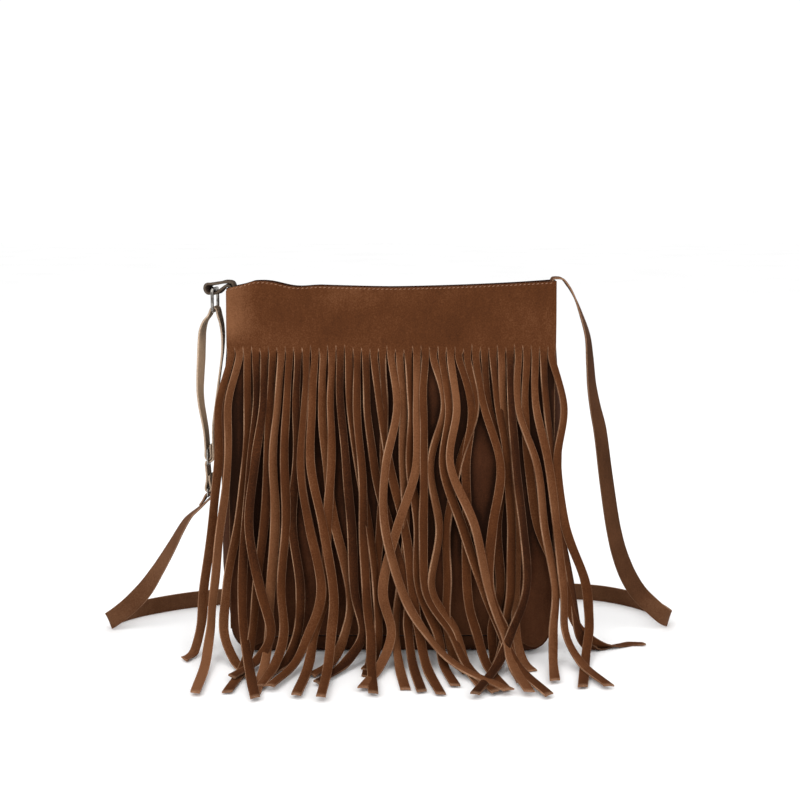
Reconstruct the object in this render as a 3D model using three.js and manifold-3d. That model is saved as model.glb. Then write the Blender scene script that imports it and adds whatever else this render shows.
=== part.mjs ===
// A fringed suede crossbody bag: +X to its right as seen from the front, -Y to the front, +Z up.
// The origin lies on the floor, in the middle of the bag's base.
import * as THREE from "three";
import { mergeVertices } from "three/addons/utils/BufferGeometryUtils.js";
import Module from "manifold-3d";

const wasm = await Module();
wasm.setup();

// Bag body, in millimetres.
const bagWidth = 265;
const bagHeight = 306;
const baseDepth = 56;
const mouthDepth = 20;
const bellyBulge = 9;
const mouthBulge = 3;
const sideBulge = 8;
const topDip = 6;
const backDip = 2.5;
const topRipple = 2;
const cornerSag = 6;
const cornerRadius = 22;
const leather = 1.5;
const seamGap = 0.3;
const hemInset = 0.4;

// Lining and its magnetic snap.
const liningThickness = 0.8;
const liningEase = 0.7;
const facingHeight = 16;
const snapRadius = 7;
const snapThickness = 1.6;
const studRadius = 3;
const studHeight = 1.6;
const snapDrop = 28;

// Fringe: a band at the mouth, cut into strands below.
const bandHeight = 48;
const strandCount = 39;
const slitWidth = 0.25;
const strandFlare = 0.17;
const strandThickness = 1.3;
const strandRootOverlap = 3;
const strandRootDrop = 8;
const driftStep = 1;
const tipReach = 134;
const layerStep = 3.2;
const standStep = 4;
const landingRise = 2.5;
const sideFall = 45;
const floorGap = 0.3;

// Strap and its metal.
const strapWidth = 15;
const strapThickness = 1.6;
const tabWidth = 14;
const tabThickness = 1.4;
const tabLeg = 11;
const tabArch = 4;
const tabTurn = 18;
const ringReach = 10.5;
const ringDrop = 0.8;
const ringWire = 2.6;
const ringInnerHeight = 15;
const ringSideRoom = 1.5;
const ringYaw = 5;
const frameBar = 1.6;
const frameSideRoom = 0.7;
const sliderDrop = 120;
const sliderOffset = -7;
const linkDrop = 147;
const linkOffset = -7.5;
const sewnTail = 11;

const suede = new THREE.MeshStandardMaterial({ color: 0x5e3a24, roughness: 0.95, metalness: 0 });
const cutSuede = new THREE.MeshStandardMaterial({ color: 0x6b4630, roughness: 0.95, metalness: 0 });
const strapSuede = new THREE.MeshStandardMaterial({ color: 0x6a4730, roughness: 0.9, metalness: 0 });
const fabric = new THREE.MeshStandardMaterial({ color: 0x2b1d16, roughness: 0.85, metalness: 0 });
const nickel = new THREE.MeshStandardMaterial({ color: 0x8f8a84, roughness: 0.3, metalness: 1 });

const { clamp, lerp, smoothstep, degToRad } = THREE.MathUtils;
const halfWidth = bagWidth / 2;
const slitHeight = bagHeight - topDip - bandHeight;

// A thin block of columns by rows cells whose corners move to place(u, v, side); side is 0 or 1.
function bentSheet(columns, rows, place) {
  const sheet = new THREE.BoxGeometry(1, 1, 1, columns, rows, 1);
  const corner = sheet.attributes.position;
  for (let i = 0; i < corner.count; i += 1) {
    const spot = place(corner.getX(i) + 0.5, corner.getY(i) + 0.5, corner.getZ(i) + 0.5);
    corner.setXYZ(i, spot.x, spot.y, spot.z);
  }
  sheet.computeVertexNormals();
  return sheet;
}

function solidOf(geometry) {
  const bare = geometry.clone();
  bare.deleteAttribute("normal");
  bare.deleteAttribute("uv");
  const merged = mergeVertices(bare, 1e-4);
  return new wasm.Manifold(new wasm.Mesh({
    numProp: 3,
    vertProperties: merged.attributes.position.array,
    triVerts: Uint32Array.from(merged.index.array),
  }));
}

function joined(pieces) {
  const whole = pieces.map(solidOf).reduce((sum, piece) => sum.add(piece));
  const mesh = whole.getMesh();
  const geometry = new THREE.BufferGeometry();
  geometry.setAttribute("position", new THREE.BufferAttribute(mesh.vertProperties, 3));
  geometry.setIndex(new THREE.BufferAttribute(mesh.triVerts, 1));
  geometry.computeVertexNormals();
  return geometry;
}

// Half the bag's depth along its side seams, narrowing from the base to the mouth.
function seamDepth(z) {
  const share = clamp(z / bagHeight, 0, 1);
  return lerp(baseDepth / 2, mouthDepth / 2, share ** 1.3);
}

// How far the front wall lies in front of the middle plane; past the sides it falls away to nothing.
function frontDepth(x, z) {
  const across = Math.min(Math.abs(x) / halfWidth, 1);
  const share = clamp(z / bagHeight, 0, 1);
  const swell = bellyBulge * Math.sin(Math.PI * share) + mouthBulge * share ** 4;
  const past = smoothstep(Math.abs(x) - halfWidth, 0, sideFall);
  return (seamDepth(z) + (1 - across ** 2) * swell) * (1 - past);
}

// The mouth's edge dips in the middle, ripples on the left, and the tab's pull lowers its left corner.
function topEdge(x) {
  const across = x / halfWidth;
  const sag = cornerSag * smoothstep(-across, 0.8, 1);
  const along = clamp((-across - 0.42) / 0.5, 0, 1);
  const ripple = topRipple * Math.sin(2 * Math.PI * along) * Math.sin(Math.PI * along);
  return bagHeight - topDip * (1 - Math.abs(across) ** 1.5) - ripple - sag;
}

function bottomEdge(x, inset) {
  const radius = cornerRadius - inset;
  const past = Math.max(0, Math.abs(x) - (halfWidth - cornerRadius));
  return inset + radius - Math.sqrt(Math.max(0, radius ** 2 - past ** 2));
}

// A front (-1) or back (1) wall, with its outline set in by inset and its inner face near beyond the bag's inside.
function wall(direction, inset, near, thickness, topDrop, columns, rows) {
  return bentSheet(columns, rows, (u, v, side) => {
    const x = Math.sin((u - 0.5) * Math.PI) * (halfWidth - inset);
    const dip = direction > 0 ? backDip * (1 - (x / halfWidth) ** 4) : 0;
    const z = lerp(bottomEdge(x, inset), topEdge(x) - topDrop - dip, v);
    const outer = direction < 0 ? side : 1 - side;
    return new THREE.Vector3(x, direction * (frontDepth(x, z) + near + outer * thickness), z);
  });
}

// The outline of the gusset from the left top, down, along the base and up to the right top.
const sideShares = [0.15, 0.3, 0.45, 0.6, 0.75, 0.9, 1];
function gussetOutline(inset, topDrop) {
  const side = halfWidth - inset;
  const bend = halfWidth - cornerRadius;
  const leftTop = topEdge(-halfWidth) - topDrop;
  const rightTop = topEdge(halfWidth) - topDrop;
  const path = new THREE.Path();
  path.moveTo(-side, leftTop);
  sideShares.forEach((share) => path.lineTo(-side, lerp(leftTop, cornerRadius, share)));
  path.absarc(-bend, cornerRadius, cornerRadius - inset, Math.PI, 1.5 * Math.PI, false);
  path.lineTo(bend, inset);
  path.absarc(bend, cornerRadius, cornerRadius - inset, 1.5 * Math.PI, 2 * Math.PI, false);
  sideShares.forEach((share) => path.lineTo(side, lerp(cornerRadius, rightTop, share)));
  return path.getPoints(3);
}

// The share of the side bulge at each height: none at the base and the mouth.
function sideSwell(z) {
  const low = smoothstep(z, 0.04 * bagHeight, 0.24 * bagHeight);
  return low * (1 - smoothstep(z, 0.55 * bagHeight, 0.93 * bagHeight));
}

function gussetStrip(inset, thickness, topDrop, edgeInset, bulge) {
  const outer = gussetOutline(inset, topDrop);
  const inner = gussetOutline(inset + thickness, topDrop);
  return bentSheet(outer.length - 1, 4, (u, v, side) => {
    const index = Math.round(u * (outer.length - 1));
    const spot = side > 0.5 ? inner[index] : outer[index];
    const across = 2 * v - 1;
    const swell = bulge * sideSwell(spot.y) * (1 - across ** 2);
    const x = spot.x + Math.sign(spot.x) * swell;
    return new THREE.Vector3(x, across * (seamDepth(spot.y) - edgeInset), spot.y);
  });
}

const liningInset = leather + seamGap;
const lining = joined([
  wall(-1, liningInset + liningThickness / 2, -liningEase - liningThickness, liningThickness, facingHeight, 10, 7),
  wall(1, liningInset + liningThickness / 2, -liningEase - liningThickness, liningThickness, facingHeight, 10, 7),
  gussetStrip(liningInset, liningThickness, facingHeight, liningEase + liningThickness / 2, 0),
]);

// The snap's halves lie on the lining, each square to the wall it is fixed to.
function snapHalf(profile, direction) {
  const z = topEdge(0) - snapDrop;
  const slope = (frontDepth(0, z + 1) - frontDepth(0, z - 1)) / 2;
  const tilt = Math.atan(slope);
  const half = new THREE.LatheGeometry(profile.map(([r, h]) => new THREE.Vector2(r, h)), 20);
  half.rotateX(direction < 0 ? tilt : Math.PI - tilt);
  const inside = frontDepth(0, z) - liningEase - liningThickness - seamGap;
  half.translate(0, direction * inside, z);
  return half;
}

const studTop = snapThickness + studHeight;
const studProfile = [[0, 0], [snapRadius, 0], [snapRadius, snapThickness], [studRadius, snapThickness],
  [studRadius, studTop], [0, studTop]];
const socketHole = studRadius + seamGap;
const socketProfile = [[0, 0], [snapRadius, 0], [snapRadius, studTop], [socketHole, studTop],
  [socketHole, snapThickness], [0, snapThickness]];

// Each strand: its sideways drift in steps at five heights and at its tip, how far in front its tip lies as a share
// of the longest reach, and its layer.
const strandHeights = [0.82, 0.64, 0.44, 0.24, 0.1];
const strandRows = [
  [-11, -12, -17, -24, -28, -39, 0.34, 1],
  [-8.5, -7.5, -14.5, -21.5, -25.5, -25.5, 0.91, 2],
  [-0.5, -1.5, -8.5, -18.5, -20.5, 5, 0.63, 1],
  [0.5, -3.5, -8.5, -12.5, -10.5, 7.5, 0.99, 2],
  [-1.5, -7, -12.5, -4, 5, -22, 0.69, 3],
  [0.5, 0.5, -5, -14, -17, -29, 0.88, 1],
  [-3.5, -6.5, -5, -10, -11, -14, 0.91, 1],
  [-2.5, -4.5, -3, -7.5, -5.5, -18.5, 0.82, 2],
  [-1.5, -1.5, -5, 1.5, -1.5, -20.5, 0.6, 1],
  [-1, -4, 2, 12.5, 1.5, -24.5, 0.84, 3],
  [-2, -3, 6, 15, 13, 9, 1, 3],
  [-1.5, 2, 9.5, 21, 17, -8, 0.61, 1],
  [-0.5, -0.5, -4.5, -4.5, -14.5, -23.5, 0.95, 2],
  [0.5, 4.5, 8.5, 11.5, 17.5, -16.5, 0.76, 2],
  [1, 7, 16.5, 22, 23.5, 13.5, 0.52, 1],
  [0, 3, 5, 7, 10, 14, 0.92, 2],
  [1, 7, 18.5, 33, 34, 44, 0.87, 1],
  [4.5, 12, 24.5, 30.5, 35.5, 51.5, 0.91, 1],
  [2, 1, -2, -7, -8.5, -13, 0.61, 0],
  [4.5, -4.5, -4.5, 8.5, 27.5, 89.5, 0.9, 3],
  [2.5, 2.5, 5.5, -0.5, -3.5, 4.5, 0.82, 0],
  [2, 1, 8, 9, 23, 36, 0.78, 1],
  [0, 0, -16, -27, -20, -42, 0.84, 2],
  [-2, -1, -1, 0, 21, 52, 0.9, 2],
  [8.5, -2.5, 4.5, -1.5, 18.5, 36.5, 0.84, 1],
  [5.5, 0.5, 16.5, 33.5, 47.5, 78.5, 0.95, 2],
  [4, 0, 20, 30, 43, 57, 0.92, 3],
  [10, 6, 6, 7, 14, 34, 0.84, 1],
  [6, -6, -16, -16, -15, -1, 0.56, 0],
  [6.5, 19.5, 13.5, 11.5, 25.5, 32.5, 0.75, 2],
  [3.5, 15.5, 10.5, 13.5, 7.5, 9.5, 0.45, 0],
  [4.5, 11.5, 15.5, 14.5, 10.5, -1.5, 0.52, 1],
  [2, 8, 13, 13, 13, 24, 0.52, 0],
  [1, 4, 11, 14, 1, -32, 0.96, 3],
  [-1, 15, 22, 30, 29, 25, 0.72, 2],
  [-1.5, 2.5, 9.5, 31.5, 43.5, 103.5, -0.01, 0],
  [0.5, 11.5, 17.5, 23.5, 25.5, 51.5, 0.81, 2],
  [2.5, 8.5, 14.5, 24.5, 29.5, 59.5, 0.09, 0],
  [9.5, 5, 12, 29.5, 34, 18, 0.8, 1],
];
const strandSteps = 16;
const strandPitch = bagWidth / strandCount;
const strandWidth = strandPitch - slitWidth;
const bandBack = leather + seamGap;

// A fixed scatter between 0 and 1 for strand i.
function scatter(i, k) {
  const wild = Math.sin(i * 12.9898 + k * 78.233) * 43758.5453;
  return wild - Math.floor(wild);
}

// Most of a strand hangs down the front wall in its own layer; its end lands on the floor and lies flat.
function strandRoute(i) {
  const row = strandRows[i % strandRows.length];
  const layer = row[7];
  const start = -halfWidth + strandPitch * (i + 0.5);
  const tipZ = floorGap + (layer + 0.5) * strandThickness;
  const tip = new THREE.Vector3(start + row[5] * driftStep, -row[6] * tipReach, tipZ);
  const root = [strandRootOverlap, -strandRootDrop].map((rise) => {
    const z = slitHeight + rise;
    return new THREE.Vector3(start, -(frontDepth(start, z) + bandBack + leather / 2), z);
  });
  const hang = strandHeights.map((share, k) => {
    const x = start + row[k] * driftStep;
    const z = slitHeight * share;
    const stand = bandBack + strandThickness + layer * layerStep * Math.min(1, 0.5 + 0.5 * k);
    return new THREE.Vector3(x, -(frontDepth(x, z) + stand + Math.max(0, k - 2) * standStep), z);
  });
  const low = hang[hang.length - 1];
  const landing = new THREE.Vector3(lerp(low.x, tip.x, 0.4), lerp(low.y, tip.y, 0.35), tip.z + landingRise);
  return new THREE.CatmullRomCurve3([...root, ...hang, landing, tip], false, "catmullrom", 0.5);
}

// The strand's turn about its own length: none at the root and the tip.
function strandTwist(i, share) {
  const wave = Math.sin(Math.PI * (1.2 + 1.6 * scatter(i, 2)) * share + 6.28 * scatter(i, 3));
  const turn = (10 + 32 * scatter(i, 1)) * wave;
  return degToRad(turn) * smoothstep(share, 0.15, 0.6) * (1 - smoothstep(share, 0.75, 0.95));
}

// The four corners of the strand's section, kept in front of the wall and above the floor.
function strandSection(route, i, share) {
  const centre = route.getPoint(share);
  const along = route.getTangent(share);
  const flat = new THREE.Vector3(1, 0, 0);
  flat.addScaledVector(along, -along.x).normalize();
  const turn = strandTwist(i, share);
  const across = flat.applyAxisAngle(along, turn);
  const facing = new THREE.Vector3().crossVectors(along, across);
  const width = strandWidth * (1 + strandFlare * smoothstep(share, 0.1, 0.6));
  const corners = [[-1, -1], [1, -1], [-1, 1], [1, 1]].map(([a, b]) => centre.clone()
    .addScaledVector(across, a * width / 2).addScaledVector(facing, b * strandThickness / 2));
  const forward = Math.max(0, ...corners.map((p) => p.y + frontDepth(p.x, p.z) + bandBack));
  const up = Math.max(0, ...corners.map((p) => floorGap - p.z));
  corners.forEach((p) => p.set(p.x, p.y - forward, p.z + up));
  return corners;
}

function strand(i) {
  const route = strandRoute(i);
  const sections = [];
  for (let step = 0; step <= strandSteps; step += 1) {
    sections.push(strandSection(route, i, step / strandSteps));
  }
  return bentSheet(1, strandSteps, (u, v, side) => {
    const section = sections[Math.round((1 - v) * strandSteps)];
    return section[Math.round(u) + 2 * Math.round(side)];
  });
}

const band = bentSheet(strandCount, 4, (u, v, side) => {
  const x = (2 * u - 1) * halfWidth;
  const z = lerp(slitHeight, topEdge(x), v);
  return new THREE.Vector3(x, -(frontDepth(x, z) + bandBack + side * leather), z);
});
const fringe = joined([band, ...Array.from({ length: strandCount }, (_, i) => strand(i))]);

// A strip of the given width whose centre line runs through a list of points, each with its own width direction.
function strip(points, widths, width, thickness, type, perSpan) {
  const route = new THREE.CatmullRomCurve3(points, false, type);
  const steps = (points.length - 1) * perSpan;
  const sections = [];
  for (let step = 0; step <= steps; step += 1) {
    const centre = route.getPoint(step / steps);
    const along = route.getTangent(step / steps);
    const index = Math.min(Math.floor(step / perSpan), points.length - 2);
    const across = widths[index].clone().lerp(widths[index + 1], step / perSpan - index);
    across.addScaledVector(along, -across.dot(along)).normalize();
    const facing = new THREE.Vector3().crossVectors(across, along);
    sections.push({ centre, across, facing });
  }
  return bentSheet(1, steps, (u, v, side) => {
    const { centre, across, facing } = sections[Math.round(v * steps)];
    return centre.clone().addScaledVector(across, (u - 0.5) * width).addScaledVector(facing, (side - 0.5) * thickness);
  });
}

// A strip bent in the plane of its [sideways, height, turn] points, its width across that plane, turned by degrees.
function flatStrip(points, width, thickness, perSpan) {
  const turns = points.map(([, , turn = 0]) => degToRad(turn));
  const across = turns.map((turn) => new THREE.Vector3(Math.sin(turn), Math.cos(turn), 0));
  const route = points.map(([n, z]) => new THREE.Vector3(n, 0, z));
  return strip(route, across, width, thickness, "centripetal", perSpan);
}

// A flat metal frame with slots one above the other, standing in the plane of the strap's width.
function slotFrame(slotWidth, slotHeight, bar, slots, corner, depth, bevel) {
  const width = slotWidth + 2 * bar;
  const height = slots * slotHeight + (slots + 1) * bar;
  const rounded = (shape, w, h, z, r) => {
    shape.moveTo(-w / 2 + r, z - h / 2);
    shape.lineTo(w / 2 - r, z - h / 2);
    shape.absarc(w / 2 - r, z - h / 2 + r, r, -Math.PI / 2, 0, false);
    shape.lineTo(w / 2, z + h / 2 - r);
    shape.absarc(w / 2 - r, z + h / 2 - r, r, 0, Math.PI / 2, false);
    shape.lineTo(-w / 2 + r, z + h / 2);
    shape.absarc(-w / 2 + r, z + h / 2 - r, r, Math.PI / 2, Math.PI, false);
    shape.lineTo(-w / 2, z - h / 2 + r);
    shape.absarc(-w / 2 + r, z - h / 2 + r, r, Math.PI, 1.5 * Math.PI, false);
    return shape;
  };
  const outline = rounded(new THREE.Shape(), width, height, 0, corner);
  for (let k = 0; k < slots; k += 1) {
    const middle = (k - (slots - 1) / 2) * (slotHeight + bar);
    outline.holes.push(rounded(new THREE.Path(), slotWidth, slotHeight, middle, Math.min(corner, slotHeight) * 0.4));
  }
  const frame = new THREE.ExtrudeGeometry(outline, {
    depth: depth - 2 * bevel,
    bevelEnabled: bevel > 0,
    bevelThickness: bevel,
    bevelSize: bevel,
    bevelOffset: -bevel,
    bevelSegments: 1,
    curveSegments: 3,
  });
  frame.translate(0, 0, -depth / 2 + bevel);
  frame.rotateX(Math.PI / 2);
  frame.rotateZ(Math.PI / 2);
  return frame;
}

// The ring hangs by its upper bar in the tab's loop, beside the left top corner.
const leftTop = topEdge(-halfWidth);
const ringX = -(halfWidth + ringReach);
const ringTopZ = leftTop - ringDrop;
const ringPitch = ringInnerHeight + ringWire;
const ringLowZ = ringTopZ - ringPitch;
const ringBevel = ringWire * 0.2;
const ringCorner = Math.hypot(ringWire / 2, ringWire / 2 - ringBevel);
const ringPass = ringCorner + seamGap + strapThickness / 2;

// The tab's two layers go down inside the gusset's left top edge, and its loop holds the ring's upper bar.
const tabHalf = tabThickness / 2;
const innerFace = -halfWidth + leather;
const legLow = innerFace + seamGap + tabHalf;
const legHigh = legLow + tabThickness + seamGap;
const loopFloor = ringTopZ - ringCorner - seamGap - tabHalf - 0.1;
const yawSway = Math.sin(degToRad(tabTurn - ringYaw)) * tabWidth / 2;
const loopEnd = ringX - ringCorner - yawSway - seamGap - tabHalf;
const overEdge = leftTop + seamGap + tabHalf;
const ringTab = flatStrip([
  [legHigh, leftTop - tabLeg],
  [legHigh, leftTop - tabLeg / 2],
  [legHigh, overEdge],
  [legHigh - 1.4, overEdge + tabThickness + seamGap],
  [-halfWidth - 1, overEdge + tabThickness + 1.1],
  [lerp(-halfWidth, ringX, 0.6), leftTop + tabArch, tabTurn * 0.5],
  [ringX - 0.5, leftTop + tabArch - 0.6, tabTurn * 0.9],
  [loopEnd + 0.9, ringTopZ + 0.75 * tabArch, tabTurn],
  [loopEnd, ringTopZ + 0.6, tabTurn],
  [loopEnd + 1.3, ringTopZ - 2.2, tabTurn],
  [ringX - yawSway * 0.6, loopFloor, tabTurn * 0.9],
  [ringX + yawSway + 1, loopFloor, tabTurn * 0.5],
  [-halfWidth - 2.6, overEdge - 1.2, tabTurn * 0.1],
  [-halfWidth - 0.6, overEdge + 0.25],
  [innerFace - 0.2, overEdge + 0.3],
  [legLow, overEdge - 1],
  [legLow, leftTop - tabLeg / 2],
  [legLow, leftTop - tabLeg],
], tabWidth, tabThickness, 2);

// Where the strap lies against the bars of the slider and the link.
const loopRadius = Math.hypot(frameBar, frameBar) / 2 + seamGap + strapThickness / 2;
const barPitch = loopRadius + 1.5 * strapThickness + 2 * seamGap + frameBar / 2 + 0.1;
const beside = frameBar / 2 + seamGap + strapThickness / 2;
const outside = loopRadius + strapThickness + 1.4 * seamGap;
const slotWidth = strapWidth + 2 * frameSideRoom;
const sliderZ = ringLowZ - sliderDrop;
const linkTopZ = ringLowZ - linkDrop;
const linkLowZ = linkTopZ - barPitch;
const crossing = sliderZ - loopRadius - strapThickness - seamGap - 0.05;

// A strap end sewn round a bar: up to the bar on one side, round it and back on the other side.
const endLoop = [
  [1, 0.5, 0],
  [0.55, 0.62, 0.25],
  [0, 0.92, 0.95],
  [0, 0, 1],
  [0, -0.71, 0.71],
  [0, -1, 0],
  [0, -0.71, -0.71],
  [0, 0, -1],
  [0, 0.92, -0.95],
  [0.55, 0.62, -0.25],
  [1, 0.5, 0],
];
const layersApart = (strapThickness + seamGap) / 2 + 0.05;
function sewnLoop(dx, dz) {
  return endLoop.map(([tail, up, out], k) => {
    const along = tail > 0 ? tail * sewnTail : up * loopRadius;
    const side = k < endLoop.length / 2 ? 1 : -1;
    const apart = tail > 0 ? side * (layersApart + (1 - tail) * 0.6) : out * loopRadius;
    return [dx * along + dz * apart, dz * along - dx * apart];
  });
}

const downRun = (share) => ringLowZ - sliderDrop * share;
const adjuster = flatStrip([
  ...sewnLoop(0, 1).map(([n, z]) => [linkOffset + n, linkTopZ + z]),
  [sliderOffset - beside - 0.1, sliderZ - barPitch - 2.5],
  [sliderOffset - beside - 0.25, sliderZ - barPitch + 0.2],
  [sliderOffset - beside * 0.8, crossing - 0.15],
  [sliderOffset, crossing],
  [sliderOffset + beside * 0.9, crossing + 0.15],
  [sliderOffset + outside * 0.82, crossing + 1.4],
  [sliderOffset + outside, crossing + 3.8],
  [sliderOffset + outside, sliderZ + 4],
  [sliderOffset + outside, sliderZ + 11],
  [-2.6, downRun(0.78), -2],
  [-0.6, downRun(0.64), -6],
  [1.4, downRun(0.51), -9],
  [3.7, downRun(0.385), -9],
  [5.5, downRun(0.275), -8],
  [6, downRun(0.17), -5],
  [5, downRun(0.085), -2],
  [3.5, downRun(0.034)],
  [ringPass, ringLowZ + 0.2],
  [ringPass * 0.71, ringLowZ + ringPass * 0.71],
  [0, ringLowZ + ringPass],
  [-ringPass * 0.71, ringLowZ + ringPass * 0.71],
  [-ringPass, ringLowZ + 0.2],
  [-4.4, downRun(0.032)],
  [-8.3, downRun(0.074), 3],
  [-10.8, downRun(0.137), 7],
  [-11.8, downRun(0.22), 9],
  [-12.6, downRun(0.34), 10],
  [-13.6, downRun(0.46), 8],
  [-14, downRun(0.56), 5],
  [-13.2, downRun(0.65), 3],
  [-11.4, downRun(0.745), 1],
  [sliderOffset - beside - 1, downRun(0.83)],
  [sliderOffset - beside - 0.3, sliderZ + barPitch + 4],
  [sliderOffset - beside - 0.15, sliderZ + barPitch],
  [sliderOffset - loopRadius, sliderZ + 0.4],
  [sliderOffset - 0.71 * loopRadius, sliderZ - 0.71 * loopRadius],
  [sliderOffset, sliderZ - loopRadius],
  [sliderOffset + 0.71 * loopRadius, sliderZ - 0.71 * loopRadius],
  [sliderOffset + loopRadius, sliderZ + 0.4],
  [sliderOffset + beside + 0.1, sliderZ + barPitch],
  [sliderOffset + beside + 0.1, sliderZ + barPitch + 3.5],
], strapWidth, strapThickness, 2);

// The long strap: from the link's lower bar down to a fold on the left, behind the bag on its edge, to a fold on
// the right, and up into the right top corner. Each row is a point and the direction of the strap's width there.
const yaw = degToRad(ringYaw);
const linkX = ringX + linkOffset * Math.cos(yaw);
const linkY = -linkOffset * Math.sin(yaw);
const rightFace = halfWidth - leather - seamGap - strapThickness / 2;
const rightTop = topEdge(halfWidth);
const overRight = rightTop + seamGap + strapThickness / 2;
const pastLeft = (out) => -halfWidth - out;
const pastRight = (out) => halfWidth + out;
const longRows = [
  ...sewnLoop(-0.62, -0.785).map(([n, z]) => [
    linkX + n * Math.cos(yaw), linkY - n * Math.sin(yaw), linkLowZ + z, Math.sin(yaw), Math.cos(yaw), 0]),
  [pastLeft(32.8), 6.3, 111, 0.03, 0.98, 0.1],
  [pastLeft(41), 9.5, 101.5, -0.2, 0.93, 0.25],
  [pastLeft(54.5), 16, 78.3, -0.41, 0.85, 0.33],
  [pastLeft(67), 21, 57.6, -0.55, 0.7, 0.44],
  [pastLeft(78.5), 25, 40.5, -0.66, 0.42, 0.6],
  [pastLeft(90.5), 28, 27, -0.7, 0.1, 0.7],
  [pastLeft(102.5), 31, 16.2, -0.6, 0, 0.78],
  [pastLeft(112.5), 34, 8.6, -0.38, 0, 0.92],
  [pastLeft(111.5), 44, 8, -0.15, 0, 1],
  [pastLeft(101.5), 60, 7.9, 0, 0, 1],
  [pastLeft(83.5), 76, 7.9, 0, 0, 1],
  [pastLeft(44.5), 98, 7.9, 0, 0, 1],
  [-100, 117, 7.9, 0, 0, 1],
  [0, 126, 7.9, 0, 0, 1],
  [100, 127, 7.9, 0, 0, 1],
  [pastRight(53.5), 118, 7.9, 0, 0, 1],
  [pastRight(78.5), 104, 7.9, 0, 0, 1],
  [pastRight(96.5), 85, 7.9, 0, 0, 1],
  [pastRight(106.5), 60, 7.9, 0.05, 0, 1],
  [pastRight(109.5), 43, 8.1, 0.25, 0, 0.97],
  [pastRight(104), 34.5, 12, 0.5, 0, 0.85],
  [pastRight(92.8), 33, 21.9, 0.68, 0, 0.72],
  [pastRight(81), 32, 33.9, 0.76, 0.05, 0.64],
  [pastRight(71.5), 30, 48.7, 0.84, 0.2, 0.5],
  [pastRight(62.9), 27, 69, 0.86, 0.4, 0.3],
  [pastRight(56.5), 24, 92, 0.84, 0.5, 0.2],
  [pastRight(48.5), 20, 136, 0.82, 0.55, 0.15],
  [pastRight(41.5), 16, 180, 0.76, 0.64, 0.1],
  [pastRight(37), 13, 198, 0.65, 0.75, 0.1],
  [pastRight(33), 10, 218, 0.54, 0.84, 0.1],
  [pastRight(30.5), 7, 240, 0.46, 0.89, 0.1],
  [pastRight(27.8), 4.5, 260, 0.34, 0.94, 0],
  [pastRight(21.5), 2.5, 279, 0.2, 0.98, 0],
  [pastRight(16.1), 1, 292, 0.08, 1, 0],
  [pastRight(10.9), 0, 301, 0, 1, 0],
  [lerp(rightFace, pastRight(10.9), 0.6), 0, overRight + 0.1, 0, 1, 0],
  [halfWidth + 0.8, 0, overRight + 0.8, 0, 1, 0],
  [halfWidth - leather - 0.2, 0, overRight + 0.4, 0, 1, 0],
  [rightFace, 0, overRight - 1.5, 0, 1, 0],
  [rightFace, 0, rightTop - tabLeg / 2, 0, 1, 0],
  [rightFace, 0, rightTop - tabLeg, 0, 1, 0],
];
const longStrap = strip(
  longRows.map(([x, y, z]) => new THREE.Vector3(x, y, z)),
  longRows.map((row) => new THREE.Vector3(row[3], row[4], row[5])),
  strapWidth, strapThickness, "centripetal", 2);

const bag = new THREE.Group();
function add(parent, name, geometry, material) {
  const mesh = new THREE.Mesh(geometry, material);
  mesh.name = name;
  parent.add(mesh);
  return mesh;
}

add(bag, "front_panel", wall(-1, hemInset, 0, leather, 0, 14, 10), suede);
add(bag, "back_panel", wall(1, hemInset, 0, leather, 0, 14, 10), suede);
add(bag, "gusset", gussetStrip(0, leather, 0, seamGap, sideBulge), suede);
add(bag, "lining", lining, fabric);
add(bag, "snap_stud", snapHalf(studProfile, -1), nickel);
add(bag, "snap_socket", snapHalf(socketProfile, 1), nickel);
add(bag, "fringe_panel", fringe, cutSuede);
add(bag, "ring_tab", ringTab, suede);
add(bag, "long_strap", longStrap, strapSuede);

const leftSide = new THREE.Group();
leftSide.position.set(ringX, 0, 0);
leftSide.rotation.z = -yaw;
bag.add(leftSide);
const ringSlot = strapWidth + 2 * ringSideRoom;
const ring = add(leftSide, "strap_ring", slotFrame(ringSlot, ringInnerHeight, ringWire, 1, 4, ringWire, ringBevel), nickel);
ring.position.z = ringTopZ - ringPitch / 2;
add(leftSide, "adjuster_strap", adjuster, strapSuede);
const slotHeight = barPitch - frameBar;
const slider = add(leftSide, "strap_slider", slotFrame(slotWidth, slotHeight, frameBar, 2, 2, frameBar, 0), nickel);
slider.position.set(sliderOffset, 0, sliderZ);
const link = add(leftSide, "strap_link", slotFrame(slotWidth, slotHeight, frameBar, 1, 2, frameBar, 0), nickel);
link.position.set(linkOffset, 0, (linkTopZ + linkLowZ) / 2);

export default bag;
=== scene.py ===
import math

import bpy
import numpy as np
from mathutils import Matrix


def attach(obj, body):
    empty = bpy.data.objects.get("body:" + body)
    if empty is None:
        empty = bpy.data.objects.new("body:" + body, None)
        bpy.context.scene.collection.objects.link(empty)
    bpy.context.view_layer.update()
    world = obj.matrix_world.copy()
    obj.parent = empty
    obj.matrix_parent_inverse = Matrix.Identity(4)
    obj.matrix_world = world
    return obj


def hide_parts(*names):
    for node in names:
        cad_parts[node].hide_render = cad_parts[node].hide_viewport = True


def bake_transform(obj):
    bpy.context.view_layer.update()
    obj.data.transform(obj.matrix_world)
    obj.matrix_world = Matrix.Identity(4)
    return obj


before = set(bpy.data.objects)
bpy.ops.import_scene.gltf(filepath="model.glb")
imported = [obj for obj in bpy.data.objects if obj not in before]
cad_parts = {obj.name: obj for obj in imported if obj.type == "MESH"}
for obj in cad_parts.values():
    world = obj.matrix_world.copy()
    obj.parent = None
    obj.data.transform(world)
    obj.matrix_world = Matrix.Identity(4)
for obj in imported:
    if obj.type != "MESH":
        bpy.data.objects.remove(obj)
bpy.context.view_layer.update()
scene = bpy.context.scene
print("frame loaded:", len(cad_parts), "nodes")


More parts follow.
